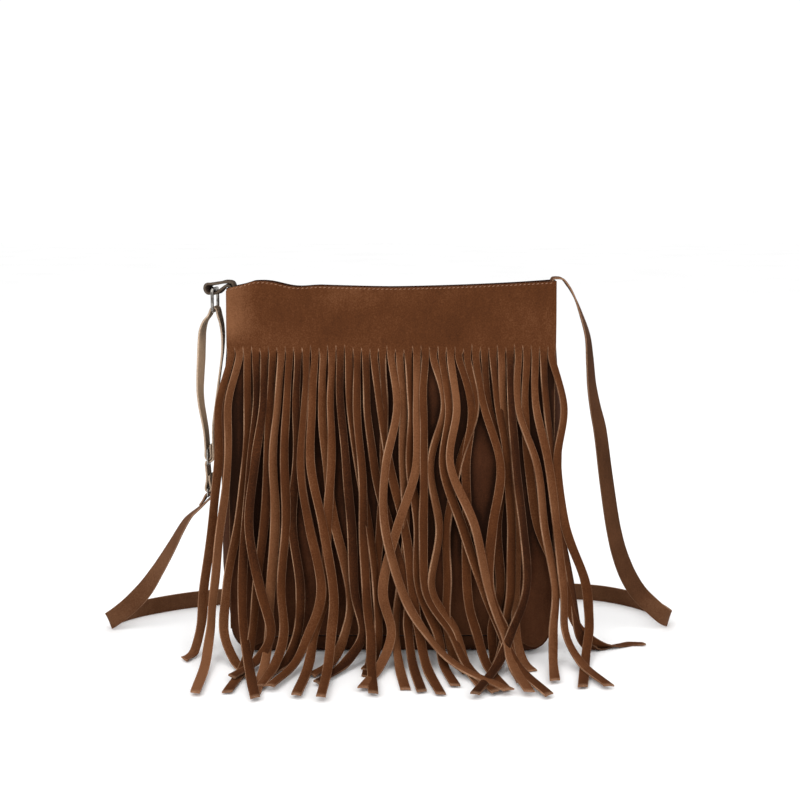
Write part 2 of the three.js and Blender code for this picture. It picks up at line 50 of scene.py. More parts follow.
# Camera at the photograph's place: 1.1 m in front, a little above the mouth, looking 9 degrees down

view = {"place": (0.007, -1.1, 0.382), "down": 9, "lens": 61.07, "sensor": 36}

cameraData = bpy.data.cameras.new("camera")
cameraData.lens = view["lens"]
cameraData.sensor_width = view["sensor"]
camera = bpy.data.objects.new("camera", cameraData)
camera.location = view["place"]
camera.rotation_euler = (math.radians(90 - view["down"]), 0, 0)
scene.collection.objects.link(camera)
scene.camera = camera


# Array helpers; lengths are in millimetres until a mesh is made

def smooth(t, low, high):  # 0 below low, 1 above high, 3s^2 - 2s^3 between
    s = np.clip((t - low) / (high - low), 0, 1)
    return s * s * (3 - 2 * s)


def unit(v):
    return v / np.maximum(np.linalg.norm(v, axis=-1, keepdims=True), 1e-9)


def scatter(i, k):  # a fixed number between 0 and 1 for item i: the fraction of 43758.5453 sin(12.9898 i + 78.233 k)
    wild = np.sin(np.asarray(i) * 12.9898 + k * 78.233) * 43758.5453
    return wild - np.floor(wild)


def sway(a, b, seed, waves, reach):  # sum of sines over the plane (a, b) with wave lengths near reach, about -1 to 1
    dice = np.random.default_rng(seed)
    total = 0
    turns, phases, sizes = dice.uniform(0, 6.28, waves), dice.uniform(0, 6.28, waves), dice.uniform(0.6, 1.5, waves)
    for turn, phase, size in zip(turns, phases, sizes):
        total = total + np.sin((a * math.cos(turn) + b * math.sin(turn)) * 6.283 / (reach * size) + phase)
    return total / math.sqrt(waves)


# Smooth route through knots: each span is the cubic whose end slopes come from its neighbours,
# with knots set apart by distance ** power (0 even, 0.5 centripetal); at holds shares of the route from 0 to 1
def route(knots, at, power):
    k = np.asarray(knots, float)
    k = np.concatenate([2 * k[..., :1, :] - k[..., 1:2, :], k, 2 * k[..., -1:, :] - k[..., -2:-1, :]], axis=-2)
    gap = np.maximum(np.linalg.norm(np.diff(k, axis=-2), axis=-1, keepdims=True), 1e-6) ** power
    p = np.asarray(at) * (k.shape[-2] - 3)
    i = np.minimum(p.astype(int), k.shape[-2] - 4)
    w = (p - i)[:, None]
    x0, x1, x2, x3 = (k[..., i + n, :] for n in range(4))
    d0, d1, d2 = (gap[..., i + n, :] for n in range(3))
    s1 = ((x1 - x0) / d0 - (x2 - x0) / (d0 + d1) + (x2 - x1) / d1) * d1
    s2 = ((x2 - x1) / d1 - (x3 - x1) / (d1 + d2) + (x3 - x2) / d2) * d1
    c2 = -3 * x1 + 3 * x2 - 2 * s1 - s2
    c3 = 2 * x1 - 2 * x2 + s1 + s2
    return x1 + w * (s1 + w * (c2 + w * c3)), unit(s1 + w * (2 * c2 + 3 * w * c3))


# Quads of a thin closed sheet: an outer grid, an inner grid and the four rims between them
def sheetFaces(rows, columns):
    n = rows * columns
    a = (np.arange(rows - 1)[:, None] * columns + np.arange(columns - 1)).ravel()
    outer = np.stack([a, a + 1, a + columns + 1, a + columns], 1)
    grid = np.arange(n).reshape(rows, columns)
    loop = np.concatenate([grid[0, :-1], grid[:-1, -1], grid[-1, :0:-1], grid[:0:-1, 0]])
    after = np.roll(loop, -1)
    return np.concatenate([outer, outer[:, ::-1] + n, np.stack([after, loop, loop + n, after + n], 1)]).tolist()


# Quads of a profile of m points carried over n stations, closed to a ring or capped at both ends
def sweepFaces(n, m, ring):
    a = np.arange(n if ring else n - 1)[:, None] * m
    j = np.arange(m)
    b = (a + m) % (n * m)
    q = np.stack([a + j, a + (j + 1) % m, b + (j + 1) % m, b + j], -1).reshape(-1, 4).tolist()
    return q if ring else q + [list(range(m))[::-1], list(range((n - 1) * m, n * m))]


# Every ring of the swept tube is centre + across * a + facing * b for the profile's points (a, b)
def sweep(centre, across, facing, profile):
    a, b = profile[:, 0, None], profile[:, 1, None]
    return centre[:, None] + across[:, None] * a + facing[:, None] * b


def solid(name, points, faces, finish, body="bag", marks=None, angle=50):
    p = np.asarray(points, float).reshape(-1, 3)
    mesh = bpy.data.meshes.new(name)
    mesh.from_pydata((p * 0.001).tolist(), [], faces)
    mesh.update()
    mesh.calc_loop_triangles()
    t = np.zeros(len(mesh.loop_triangles) * 3, np.int32)
    mesh.loop_triangles.foreach_get("vertices", t)
    t = p[t.reshape(-1, 3)]
    if np.einsum("ij,ij->", t[:, 0], np.cross(t[:, 1], t[:, 2])) < 0:  # faces point outwards
        mesh.flip_normals()
    for mark, values in (marks or {}).items():
        layer = mesh.attributes.new(mark, "FLOAT", "POINT")
        layer.data.foreach_set("value", np.asarray(values, np.float32).ravel())
    mesh.polygons.foreach_set("use_smooth", np.ones(len(mesh.polygons), bool))
    mesh.set_sharp_from_angle(angle=math.radians(angle))
    mesh.materials.append(finish)
    made = bpy.data.objects.new(name, mesh)
    scene.collection.objects.link(made)
    if body:
        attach(made, body)
    return made


# Shader maths: a wrapped socket adds a Math node for each operator

class Wire:
    def __init__(self, tree, link=None):
        self.tree, self.link = tree, link

    def node(self, kind, settings, inputs, out=0):
        made = self.tree.nodes.new(kind)
        for key, value in settings.items():
            setattr(made, key, value)
        for key, value in inputs.items():
            if isinstance(value, Wire):
                self.tree.links.new(value.link, made.inputs[key])
            else:
                made.inputs[key].default_value = value
        return Wire(self.tree, made.outputs[out])

    def maths(self, operation, a, b):
        return self.node("ShaderNodeMath", {"operation": operation}, {0: a, 1: b})

    def __add__(self, other):
        return self.maths("ADD", self, other)

    def __mul__(self, other):
        return self.maths("MULTIPLY", self, other)

    __radd__ = __add__
    __rmul__ = __mul__

    def between(self, low, high):  # 0 to 1 as the value goes from low to high
        return self.node("ShaderNodeMapRange", {"clamp": True}, {0: self, 1: low, 2: high})

    def blend(self, a, b):  # colour a where the value is 0, b where it is 1
        settings = {"data_type": "RGBA", "clamp_factor": True}
        return self.node("ShaderNodeMix", settings, {0: self, 6: a, 7: b}, out=2)

    def noise(self, place, scale, detail=2.0, rough=0.5):
        inputs = {"Vector": place, "Scale": scale, "Detail": detail, "Roughness": rough}
        return self.node("ShaderNodeTexNoise", {}, inputs)

    def mark(self, name):
        return self.node("ShaderNodeAttribute", {"attribute_name": name}, {}, out="Fac")

    def place(self, stretch=(1, 1, 1)):  # Object coordinates in metres, each multiplied by stretch
        spot = self.node("ShaderNodeTexCoord", {}, {}, out="Object")
        return self.node("ShaderNodeVectorMath", {"operation": "MULTIPLY"}, {0: spot, 1: stretch})


def hue(red, green, blue):  # screen colour to the linear colour that the shader takes
    shares = (red / 255, green / 255, blue / 255)
    return tuple((c / 12.92 if c <= 0.04045 else ((c + 0.055) / 1.055) ** 2.4) for c in shares) + (1,)


def startMaterial(name):
    material = bpy.data.materials.new(name)
    material.use_nodes = True
    tree = material.node_tree
    return material, Wire(tree), tree.nodes["Principled BSDF"]


def feed(wire, shader, **links):
    for name, value in links.items():
        wire.tree.links.new(value.link, shader.inputs[name.replace("_", " ")])


# Suede: blotches of brushed nap over the hide's colour, fine fibres as bump, pale fibres where it was cut

suedeLook = {
    # The walls' and gusset's suede is darker than the fringe's: painted shade, for the walls that lie behind the
    # fringe
    "panel": {"dark": hue(34, 17, 8), "mid": hue(62, 34, 19), "light": hue(84, 51, 32), "pale": hue(128, 94, 70),
              "patch": 0.4, "stroke": 0.15, "tuft": 0.2, "sheen": 0.06},
    "fringe": {"dark": hue(42, 20, 8), "mid": hue(80, 45, 23), "light": hue(116, 76, 50), "pale": hue(168, 130, 102),
               "patch": 0.2, "stroke": 0.1, "tuft": 0.25, "sheen": 0.06},
    "strap": {"dark": hue(56, 33, 18), "mid": hue(82, 52, 33), "light": hue(108, 75, 53), "pale": hue(150, 116, 92),
              "patch": 0.3, "stroke": 0.12, "tuft": 0.25, "sheen": 0.06},
    # The tab's suede is a darker, greyer copy of the others: painted shade, for the tab lying in shade at the corner
    "tab": {"dark": hue(34, 26, 21), "mid": hue(56, 45, 37), "light": hue(78, 66, 56), "pale": hue(96, 84, 72),
            "patch": 0.4, "stroke": 0.15, "tuft": 0.25, "sheen": 0.04},
    "adjuster": {"dark": hue(98, 84, 68), "mid": hue(164, 140, 116), "light": hue(186, 162, 139),
                 "pale": hue(194, 170, 148), "patch": 0.4, "stroke": 0.15, "tuft": 0.25, "sheen": 0.06},
}


def suede(name, look):
    material, wire, shader = startMaterial(name)
    spot = wire.place()
    blotch = wire.noise(spot, 26, 3, 0.55)  # brushed patches about 40 mm across
    brush = wire.noise(wire.place((260, 260, 70)), 1, 3, 0.6)  # upright strokes of the nap
    fibre = wire.noise(spot, 900, 2, 0.6)  # single tufts near a millimetre
    speck = wire.noise(spot, 2600, 1, 0.5)
    tone = wire.mark("tone")
    level = 0.5 - 0.5 * (look["patch"] + look["stroke"] + look["tuft"])
    napAndSideShade = look["patch"] * blotch.between(0.3, 0.72) + look["stroke"] * brush.between(0.28, 0.74)
    shade = napAndSideShade + look["tuft"] * fibre.between(0.3, 0.7) + tone + level
    low = shade.between(0, 0.5).blend(look["dark"], look["mid"])
    colour = shade.between(0.5, 1).blend(low, look["light"])
    cut = wire.mark("cutEdge") * (0.45 + 0.8 * fibre.between(0.3, 0.7))
    colour = cut.blend(colour, look["pale"])
    height = fibre * 0.8 + speck * 0.4 + brush * 0.25
    bump = wire.node("ShaderNodeBump", {}, {"Strength": 0.5, "Distance": 0.0005, "Height": height})
    feed(wire, shader, Base_Color=colour, Roughness=0.82 + 0.16 * brush, Normal=bump)
    shader.inputs["Specular IOR Level"].default_value = 0.06
    shader.inputs["Sheen Weight"].default_value = look["sheen"]
    shader.inputs["Sheen Roughness"].default_value = 0.45
    shader.inputs["Sheen Tint"].default_value = look["light"]
    return material


# Lining: plain-woven cotton, over and under threads 0.7 mm apart

liningLook = {"warp": hue(58, 40, 30), "weft": hue(40, 27, 20), "threads": 1400}


def wovenCotton(name, look):
    material, wire, shader = startMaterial(name)
    turned = wire.place((look["threads"], 0, look["threads"]))
    over = wire.node("ShaderNodeTexChecker", {}, {"Vector": turned, "Scale": 1.0}, out=1)
    slub = wire.noise(wire.place((1200, 1200, 90)), 1, 2)
    patch = wire.noise(wire.place(), 40, 3)
    colour = (0.5 * over + 0.5 * slub).blend(look["weft"], look["warp"])
    bump = wire.node("ShaderNodeBump", {}, {"Strength": 0.4, "Distance": 0.0003, "Height": over * 0.6 + slub})
    feed(wire, shader, Base_Color=colour, Roughness=0.7 + 0.25 * patch, Normal=bump)
    shader.inputs["Sheen Weight"].default_value = 0.15
    return material


# Nickel plate: grey metal with cloudy tarnish and fine rub marks

nickelLook = {"bright": hue(168, 163, 156), "dull": hue(92, 88, 84)}


def nickelPlate(name, look):
    material, wire, shader = startMaterial(name)
    cloud = wire.noise(wire.place(), 420, 4, 0.6)
    rub = wire.noise(wire.place((5200, 900, 900)), 1, 2)
    colour = cloud.between(0.35, 0.68).blend(look["dull"], look["bright"])
    bump = wire.node("ShaderNodeBump", {}, {"Strength": 0.15, "Distance": 0.0002, "Height": rub})
    feed(wire, shader, Base_Color=colour, Roughness=0.22 + 0.22 * cloud + 0.1 * rub, Normal=bump)
    shader.inputs["Metallic"].default_value = 1
    return material


# Thread: waxed tan cotton, two plies turned round each other

threadLook = {"light": hue(156, 114, 86), "dark": hue(100, 66, 46)}


def waxedThread(name, look):
    material, wire, shader = startMaterial(name)
    twist = {"Vector": wire.place((1, 1, 1.6)), "Scale": 500.0, "Distortion": 2.0}
    ply = wire.node("ShaderNodeTexWave", {}, twist, out=1)
    wearAndShade = wire.noise(wire.place(), 240, 3)
    colour = (0.5 * ply + 0.6 * wearAndShade).blend(look["dark"], look["light"])
    bump = wire.node("ShaderNodeBump", {}, {"Strength": 0.4, "Distance": 0.0002, "Height": ply})
    feed(wire, shader, Base_Color=colour, Roughness=0.5 + 0.3 * wearAndShade, Normal=bump)
    return material


suedes = [suede(name + " suede", look) for name, look in suedeLook.items()]
panelShadedSuede, fringeSuede, strapSuede, tabShadedSuede, adjusterSuede = suedes
liningCloth = wovenCotton("lining cloth", liningLook)
nickel = nickelPlate("nickel plate", nickelLook)
thread = waxedThread("thread", threadLook)
print("materials made")


# Bag body: its outline and depth; the mouth's dips and ripple are a little finer than in the part's source

bag = {
    "width": 265, "height": 306, "baseDepth": 56, "mouthDepth": 20, "belly": 9, "mouthBulge": 3, "sideBulge": 8,
    "topDip": 4.9, "backDip": 1, "topRipple": 2.1, "cornerSag": 6, "cornerRound": 3, "cornerRadius": 22,
    "leather": 1.5, "seamGap": 0.3, "hemInset": 0.4, "sideFall": 45,
    "rollHeight": 18, "rollDepth": 13, "seamRoll": 0.92,  # the base rolls up to the front and back seams
}
half = bag["width"] / 2


def seamDepth(z):  # half the depth at the side seams: base to mouth as the height's share ** 1.3
    share = np.clip(z / bag["height"], 0, 1)
    return bag["baseDepth"] / 2 + (bag["mouthDepth"] - bag["baseDepth"]) / 2 * share ** 1.3


def frontDepth(x, z):  # seam depth plus a swell that is 1 - (x / half)^2 across; past the sides it falls to nothing
    across = np.minimum(np.abs(x) / half, 1)
    share = np.clip(z / bag["height"], 0, 1)
    swell = bag["belly"] * np.sin(np.pi * share) + bag["mouthBulge"] * share ** 4
    past = smooth(np.abs(x) - half, 0, bag["sideFall"])
    return (seamDepth(z) + (1 - across ** 2) * swell) * (1 - past)


# The mouth dips in the middle, ripples as sin(2 pi s) sin(pi s) on the left, and the tab pulls its left corner down
def topEdge(x):
    across = x / half
    s = np.clip((-across - 0.42) / 0.5, 0, 1)
    ripple = bag["topRipple"] * np.sin(2 * np.pi * s) * np.sin(np.pi * s)
    sag = bag["cornerSag"] * np.clip((-across - 0.84) / 0.16, 0, 1)
    return bag["height"] - bag["topDip"] * (1 - np.abs(across) ** 1.5) - ripple - sag


def frontEdge(x):  # the front's left corner is rounded off as a quarter circle
    s = np.clip((-x - half) / bag["cornerRound"] + 1, 0, 1)
    return topEdge(x) - bag["cornerRound"] * (1 - np.sqrt(1 - s ** 2))


def backEdge(x):  # the back hangs a little lower
    return topEdge(x) - bag["backDip"] * (1 - (x / half) ** 4)


# Outline of the gusset from the left top round the base to the right top: points and the way in, square to it
def gussetLine(inset, topDrop):
    side, bend, r = half - inset, half - bag["cornerRadius"], bag["cornerRadius"] - inset
    left, right, low = topEdge(-half) - topDrop, topEdge(half) - topDrop, bag["cornerRadius"]
    turn = np.linspace(math.pi, 1.5 * math.pi, 12)[1:-1]
    c, s = np.cos(turn), np.sin(turn)
    rise = np.linspace(0, 1, 60)
    run = np.linspace(-bend, bend, 60)
    one, none = np.ones(60), np.zeros(60)
    x = np.concatenate([none - side, -bend + r * c, run, bend - r * c[::-1], none + side])
    z = np.concatenate([left + (low - left) * rise, low + r * s, none + inset, low + r * s[::-1],
                        low + (right - low) * rise])
    inX = np.concatenate([one, -c, none, c[::-1], -one])
    inZ = np.concatenate([none, -s, one, -s[::-1], none])
    return np.stack([x, z], 1), np.stack([inX, inZ], 1)


def rollShare(x, z):  # 1 along the base, a fifth at the corners, 0 up the sides
    return (1 - 0.8 * smooth(np.abs(x), 88, 126)) * (1 - smooth(z, 4, 46))


# The gusset's strip: v goes from the front seam to the back seam; near the seams the strip rolls in from the outline
# as a quarter of a circle stretched to rollDepth by rollHeight, and the filled bag pushes its sides out
# by bulge * (1 - v^2)
def gussetSheet(inset, thickness, topDrop, edgeInset, bulge, columns):
    line, inward = gussetLine(inset, topDrop)
    v = np.linspace(-1, 1, columns)
    v = np.sign(v) * (1 - (1 - np.abs(v)) ** 1.4)
    x, z = line[:, :1], line[:, 1:]
    past = np.abs(v) * (seamDepth(z) - edgeInset) - (seamDepth(z) - bag["rollDepth"])
    reach = np.maximum(past, 0) / bag["rollDepth"]
    roll = bag["rollHeight"] * (1 - np.sqrt(np.maximum(1 - reach ** 2, 0))) * rollShare(x, z)
    up = z / bag["height"]
    swell = bulge * smooth(up, 0.04, 0.24) * (1 - smooth(up, 0.55, 0.93)) * (1 - v ** 2)
    sides = []
    for side in (0, thickness):
        push = roll - swell + side
        depth = v * (seamDepth(z) - edgeInset) + 0 * x
        sides.append(np.stack([x + inward[:, :1] * push, depth, z + inward[:, 1:] * push], -1))
    return np.stack(sides), line.shape[0], columns


seamLine, seamInward = gussetLine(bag["hemInset"], 0)
seamPush = bag["rollHeight"] * bag["seamRoll"] * rollShare(seamLine[:, 0], seamLine[:, 1])
seamCurve = seamLine + seamInward * seamPush[:, None]
seamLow = seamCurve[seamLine[:, 1] < bag["cornerRadius"] + 0.01]


def bottomEdge(x, inset):  # lower seam of the panels, where the base rolls up to them
    return np.interp(x, seamLow[:, 0] * (half - inset) / half, seamLow[:, 1]) + inset


def flatSpread(n):  # shares 0 to 1 with a narrow cell at both ends
    return np.concatenate([[0, 0.004], np.linspace(0.016, 0.984, n), [0.996, 1]])


# A front (-1) or back (1) wall: u runs across, v from the lower seam to the mouth; slack folds stand out
# from the depth
def wallSheet(direction, inset, near, thickness, topDrop, columns, rows, slack, seed):
    u, v = flatSpread(columns)[None, :], flatSpread(rows)[:, None]
    x = (2 * u - 1) * (half - inset) + 0 * v
    edge = backEdge(x) if direction > 0 else frontEdge(x)
    z = bottomEdge(x, inset) * (1 - v) + (edge - topDrop) * v
    calm = np.sin(np.pi * u) ** 0.7 * smooth(v, 0, 0.12) * (1 - smooth(v, 0.72, 0.97))
    folds = slack * calm * (1 + sway(x * 1.5, z * 0.45, seed, 5, 70))
    depth = frontDepth(x, z) + near + folds
    points = np.stack([np.stack([x, direction * (depth + t), z], -1) for t in (thickness, 0)])
    rim = np.maximum(((u < 0.002) | (u > 0.998)) * 0.8 + 0 * v, (v < 0.002) * 0.2 + 0 * u)
    return points, np.stack([rim, rim]), len(v), u.shape[1]


def evenTone(points, seed, strength):
    p = points.reshape(-1, 3)
    return strength * sway(p[:, 0] + p[:, 1], p[:, 2], seed, 4, 120)


wallCut = {"columns": 120, "rows": 100, "backSlack": 1.6, "frontSlack": 0.2}
walls = {}
for name, direction, seed in (("front_panel", -1, 3), ("back_panel", 1, 8)):
    slack = wallCut["backSlack" if direction > 0 else "frontSlack"]
    points, rim, rows, columns = wallSheet(direction, bag["hemInset"], 0, bag["leather"], 0,
                                           wallCut["columns"], wallCut["rows"], slack, seed)
    marks = {"cutEdge": rim, "tone": evenTone(points, seed, 0.08)}
    piece = solid(name.split("_")[0] + "Wall", points, sheetFaces(rows, columns), panelShadedSuede, marks=marks)
    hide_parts(name)
    walls[name] = (piece, points)

points, rows, columns = gussetSheet(0, bag["leather"], 0, bag["seamGap"], bag["sideBulge"], 25)
marks = {"tone": evenTone(points, 5, 0.08), "cutEdge": np.zeros(points.size // 3)}
gusset = solid("gussetStrip", points, sheetFaces(rows, columns), panelShadedSuede, marks=marks)
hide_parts("gusset")
print("walls and gusset made")


# Lining: two walls and a strip of thin cloth inside, below the suede facing at the mouth

liningCut = {"thickness": 0.8, "ease": 0.9, "facing": 16}
liningInset = bag["leather"] + bag["seamGap"]
sheets, faces, start = [], [], 0
for direction in (-1, 1):
    points, _, rows, columns = wallSheet(direction, liningInset + 0.4, -liningCut["ease"] - liningCut["thickness"],
                                         liningCut["thickness"], liningCut["facing"], 40, 40, 0, 1)
    order = -direction  # the back wall's grid is turned over
    faces += [[i + start for i in f[::order]] for f in sheetFaces(rows, columns)]
    sheets.append(points.reshape(-1, 3))
    start += len(sheets[-1])
points, rows, columns = gussetSheet(liningInset, liningCut["thickness"], liningCut["facing"],
                                    liningCut["ease"] + 0.4, 0, 17)
faces += [[i + start for i in f] for f in sheetFaces(rows, columns)]
sheets.append(points.reshape(-1, 3))
lining = solid("liningPouch", np.concatenate(sheets), faces, liningCloth)
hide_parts("lining")
print("lining made")


# Fringe: a band sewn at the mouth, slit below into strands. Each row is a strand's sideways drift at five heights
# and at its tip, how far in front its tip lies as a share of tipReach, and its layer in front of the wall

fringe = {
    "band": 49.1, "slit": 0.25, "thickness": 1.3, "rootOverlap": 3, "rootDrop": 8, "tipReach": 134,
    "layerStep": 3.2, "floorGap": 0.3, "stations": 96, "bandRows": 18, "paleBorder": 0.5, "cup": 0.9,
    "flare": 0.17, "waist": 0.12, "ragged": 2.2, "wander": 0.7, "uneven": 0.07,
}
strandHeights = np.array([0.82, 0.64, 0.44, 0.24, 0.1])
strandRows = np.array([
    [-10, -10.8, -16, -24, -28, -39, 0.34, 1], [-9.3, -9, -15.2, -21.5, -25.5, -25.5, 0.91, 2],
    [-0.5, -1.5, -8.5, -18.5, -20.5, 5, 0.63, 1], [0.5, -3.5, -8.5, -12.5, -10.5, 7.5, 0.99, 2],
    [-1.5, -7, -12.5, -4, 5, -22, 0.69, 3], [-2.5, -5, -7.5, -14, -17, -29, 0.88, 1],
    [-3.5, -6.5, -5, -10, -11, -14, 0.91, 1], [-2.5, -4.5, -3, -7.5, -5.5, -18.5, 0.82, 2],
    [-1.5, -1.5, -5, 1.5, -1.5, -20.5, 0.6, 1], [-1, -4, 2, 12.5, 1.5, -24.5, 0.84, 3],
    [-2, -3, 6, 15, 13, 9, 1, 3], [-1.5, 2, 9.5, 21, 17, -8, 0.61, 1],
    [-0.5, -0.5, -4.5, -4.5, -14.5, -23.5, 0.95, 2], [0.5, 4.5, 8.5, 11.5, 17.5, -16.5, 0.76, 2],
    [1, 7, 16.5, 22, 23.5, 13.5, 0.52, 1], [0, 3, 5, 7, 10, 14, 0.92, 2], [1, 7, 18.5, 33, 34, 44, 0.87, 1],
    [4.5, 12, 24.5, 30.5, 35.5, 51.5, 0.91, 1], [2, 1, -2, -7, -8.5, -13, 0.61, 0],
    [4.5, -4.5, -4.5, 8.5, 27.5, 89.5, 0.9, 3], [2.5, 2.5, 5.5, -0.5, -3.5, 4.5, 0.82, 0],
    [2, 1, 8, 9, 23, 36, 0.78, 1], [0, 0, -16, -27, -20, -42, 0.84, 2], [-2, -1, -1, 0, 21, 52, 0.9, 2],
    [8.5, -2.5, 4.5, -1.5, 18.5, 36.5, 0.84, 1], [5.5, 0.5, 16.5, 33.5, 47.5, 78.5, 0.95, 2],
    [4, 0, 20, 30, 43, 57, 0.92, 3], [10, 6, 6, 7, 14, 34, 0.84, 1], [6, -6, -16, -16, -15, -1, 0.56, 0],
    [6.5, 19.5, 13.5, 11.5, 25.5, 32.5, 0.75, 2], [3.5, 15.5, 10.5, 13.5, 7.5, 9.5, 0.45, 0],
    [4.5, 11.5, 15.5, 14.5, 10.5, -1.5, 0.52, 1], [2, 8, 13, 13, 13, 24, 0.52, 0], [1, 4, 11, 14, 1, -32, 0.96, 3],
    [-1, 15, 22, 30, 29, 25, 0.72, 2], [-1.5, 2.5, 9.5, 31.5, 43.5, 103.5, -0.01, 0],
    [0.5, 11.5, 17.5, 23.5, 25.5, 51.5, 0.81, 2], [2.5, 8.5, 14.5, 24.5, 29.5, 59.5, 0.09, 0],
    [9.5, 5, 12, 29.5, 34, 18, 0.8, 1],
], float)
count = len(strandRows)
pitch = bag["width"] / count
bandBack = bag["leather"] + bag["seamGap"]
slitZ = bag["height"] - bag["topDip"] - fringe["band"]
index = np.arange(count)
startX = -half + pitch * (index + 0.5)
layer = strandRows[:, 7]


# Knots of every strand: two at the root, one at each height in front of the wall, the landing and the tip
def strandKnots():
    thick = fringe["thickness"]
    tipZ = fringe["floorGap"] + thick / 2 + layer * thick
    tip = np.stack([startX + strandRows[:, 5], -strandRows[:, 6] * fringe["tipReach"], tipZ], -1)
    roots = []
    for rise in (fringe["rootOverlap"], -fringe["rootDrop"]):
        z = np.full(count, slitZ + rise)
        roots.append(np.stack([startX, -(frontDepth(startX, z) + bandBack + bag["leather"] / 2), z], -1))
    k = np.arange(len(strandHeights))
    x = startX[:, None] + strandRows[:, :5]
    z = slitZ * strandHeights + 0 * x
    stand = bandBack + thick + layer[:, None] * fringe["layerStep"] * np.minimum(1, 0.5 + 0.5 * k)
    stand = stand + np.maximum(0, k - 2) * 4
    hang = np.stack([x, -(frontDepth(x, z) + stand), z], -1)
    low = hang[:, -1]
    ahead = tip - low
    landing = np.stack([low[:, 0] + 0.4 * ahead[:, 0], low[:, 1] + 0.35 * ahead[:, 1], tip[:, 2] + 2.5], -1)
    return np.concatenate([np.stack(roots, 1), hang, landing[:, None], tip[:, None]], 1)


# A strand's turn about its length: a lean that mostly brings its left edge forward, and a wave;
# none at the root and the tip
def strandTurn(share):
    i = index[:, None]
    lean = np.where(scatter(i, 10) < 0.2, 1, -1) * (8 + 30 * scatter(i, 1))
    wave = 12 * np.sin(np.pi * (1.2 + 1.6 * scatter(i, 2)) * share + 6.28 * scatter(i, 3))
    return np.radians(lean + wave) * smooth(share, 0.03, 0.2) * (1 - smooth(share, 0.75, 0.95))


# A wave along each strand: two sines, one about twice as quick as the other, about -1 to 1
def strandWave(share, seed, turns):
    i = index[:, None]
    slow = np.sin(2 * np.pi * (turns * (0.7 + 0.6 * scatter(i, seed)) * share + scatter(i, seed + 1)))
    quick = np.sin(2 * np.pi * (turns * (1.7 + scatter(i, seed + 2)) * share + scatter(i, seed + 3)))
    return 0.6 * slow + 0.4 * quick


def fringePoints():
    width = pitch - fringe["slit"]
    border = fringe["paleBorder"]
    a = np.array([-width / 2, -width / 2 + border, -width / 4, 0, width / 4, width / 2 - border, width / 2])
    spans = len(strandHeights) + 3
    overlap = fringe["rootOverlap"]
    first = overlap / (overlap + fringe["rootDrop"]) / spans  # the route's share at the slit
    share = np.linspace(first, 1, fringe["stations"])
    centre, along = route(strandKnots(), share, 0)
    drift = fringe["wander"] * strandWave(share, 20, 2.5)
    centre[..., 0] += drift * smooth(share, 0.1, 0.25) * (1 - smooth(share, 0.7, 0.9))
    flat = unit(np.array([1.0, 0, 0]) - along * along[..., :1])
    turn = strandTurn(share)[..., None]
    across = flat * np.cos(turn) + np.cross(along, flat) * np.sin(turn)
    facing = np.cross(along, across)
    ragged = fringe["ragged"] * (2 * scatter(np.arange(count + 1), 9) - 1)
    gap = (a - a[0]) / width
    cut = 1 + fringe["uneven"] * strandWave(share, 24, 3) * smooth(share, 0.08, 0.2)  # cut by hand
    lower = smooth(share, 0.12, 0.6)  # narrow below the slit, a little wider lower down
    flare = fringe["flare"] * lower - fringe["waist"] * smooth(share, first, 0.08) * (1 - lower)
    wide = a * (cut * (1 + flare))[..., None]
    lift = ragged[:-1, None] * (1 - gap) + ragged[1:, None] * gap  # height of the slit's top at each column
    skived = bag["leather"] + (fringe["thickness"] - bag["leather"]) * smooth(share, first, 0.1)
    thick = np.where(share < 0.1, skived, fringe["thickness"])
    bow = fringe["cup"] * (scatter(index, 5) - 0.35)[:, None, None] * smooth(share, 0.08, 0.3)[:, None]
    bow = bow * (1 - (2 * a / width) ** 2)
    slant = (scatter(index, 6) - 0.5)[:, None, None] * smooth(share, 0.97, 1)[:, None] * a  # the tip is cut askew
    middle = centre[:, :, None] + across[:, :, None] * wide[..., None]
    middle = middle + facing[:, :, None] * bow[..., None] + along[:, :, None] * slant[..., None]
    sides = np.stack([middle + facing[:, :, None] * (s * thick[:, None, None] / 2) for s in (1, -1)], 3)
    forward = np.maximum((sides[..., 1] + frontDepth(sides[..., 0], sides[..., 2]) + bandBack).max((2, 3)), 0)
    up = np.maximum((fringe["floorGap"] - sides[..., 2]).max((2, 3)), 0)
    sides[..., 1] -= forward[:, :, None, None]
    sides[..., 2] += up[:, :, None, None]

    x = startX[:, None, None] + a + 0 * share[:, None]  # the band's own surface carried on below the slit
    z = centre[:, :, None, 2] + 0 * a
    depth = frontDepth(x, z) + bandBack
    hung = np.stack([np.stack([x, -(depth + t), z], -1) for t in (bag["leather"], 0)], 3)
    free = smooth(share, first, 0.13)[:, None, None, None]
    sides = hung * (1 - free) + sides * free
    sides[..., 2] += (lift[:, None, :] * (1 - smooth(share, first, 0.11))[:, None])[..., None]

    v = np.linspace(1, 0, fringe["bandRows"])[:-1]
    x = startX[:, None, None] + a + 0 * v[:, None]
    low = slitZ + lift[:, None, :]
    z = low + (frontEdge(x) - low) * v[:, None]
    calm = np.sin(np.pi * v)[:, None]
    depth = frontDepth(x, z) + bandBack + 0.35 * calm * (1 + sway(x, z * 0.6, 12, 4, 60))
    band = np.stack([np.stack([x, -(depth + t), z], -1) for t in (bag["leather"], 0)], 3)
    return np.concatenate([band, sides], 1), len(v), share


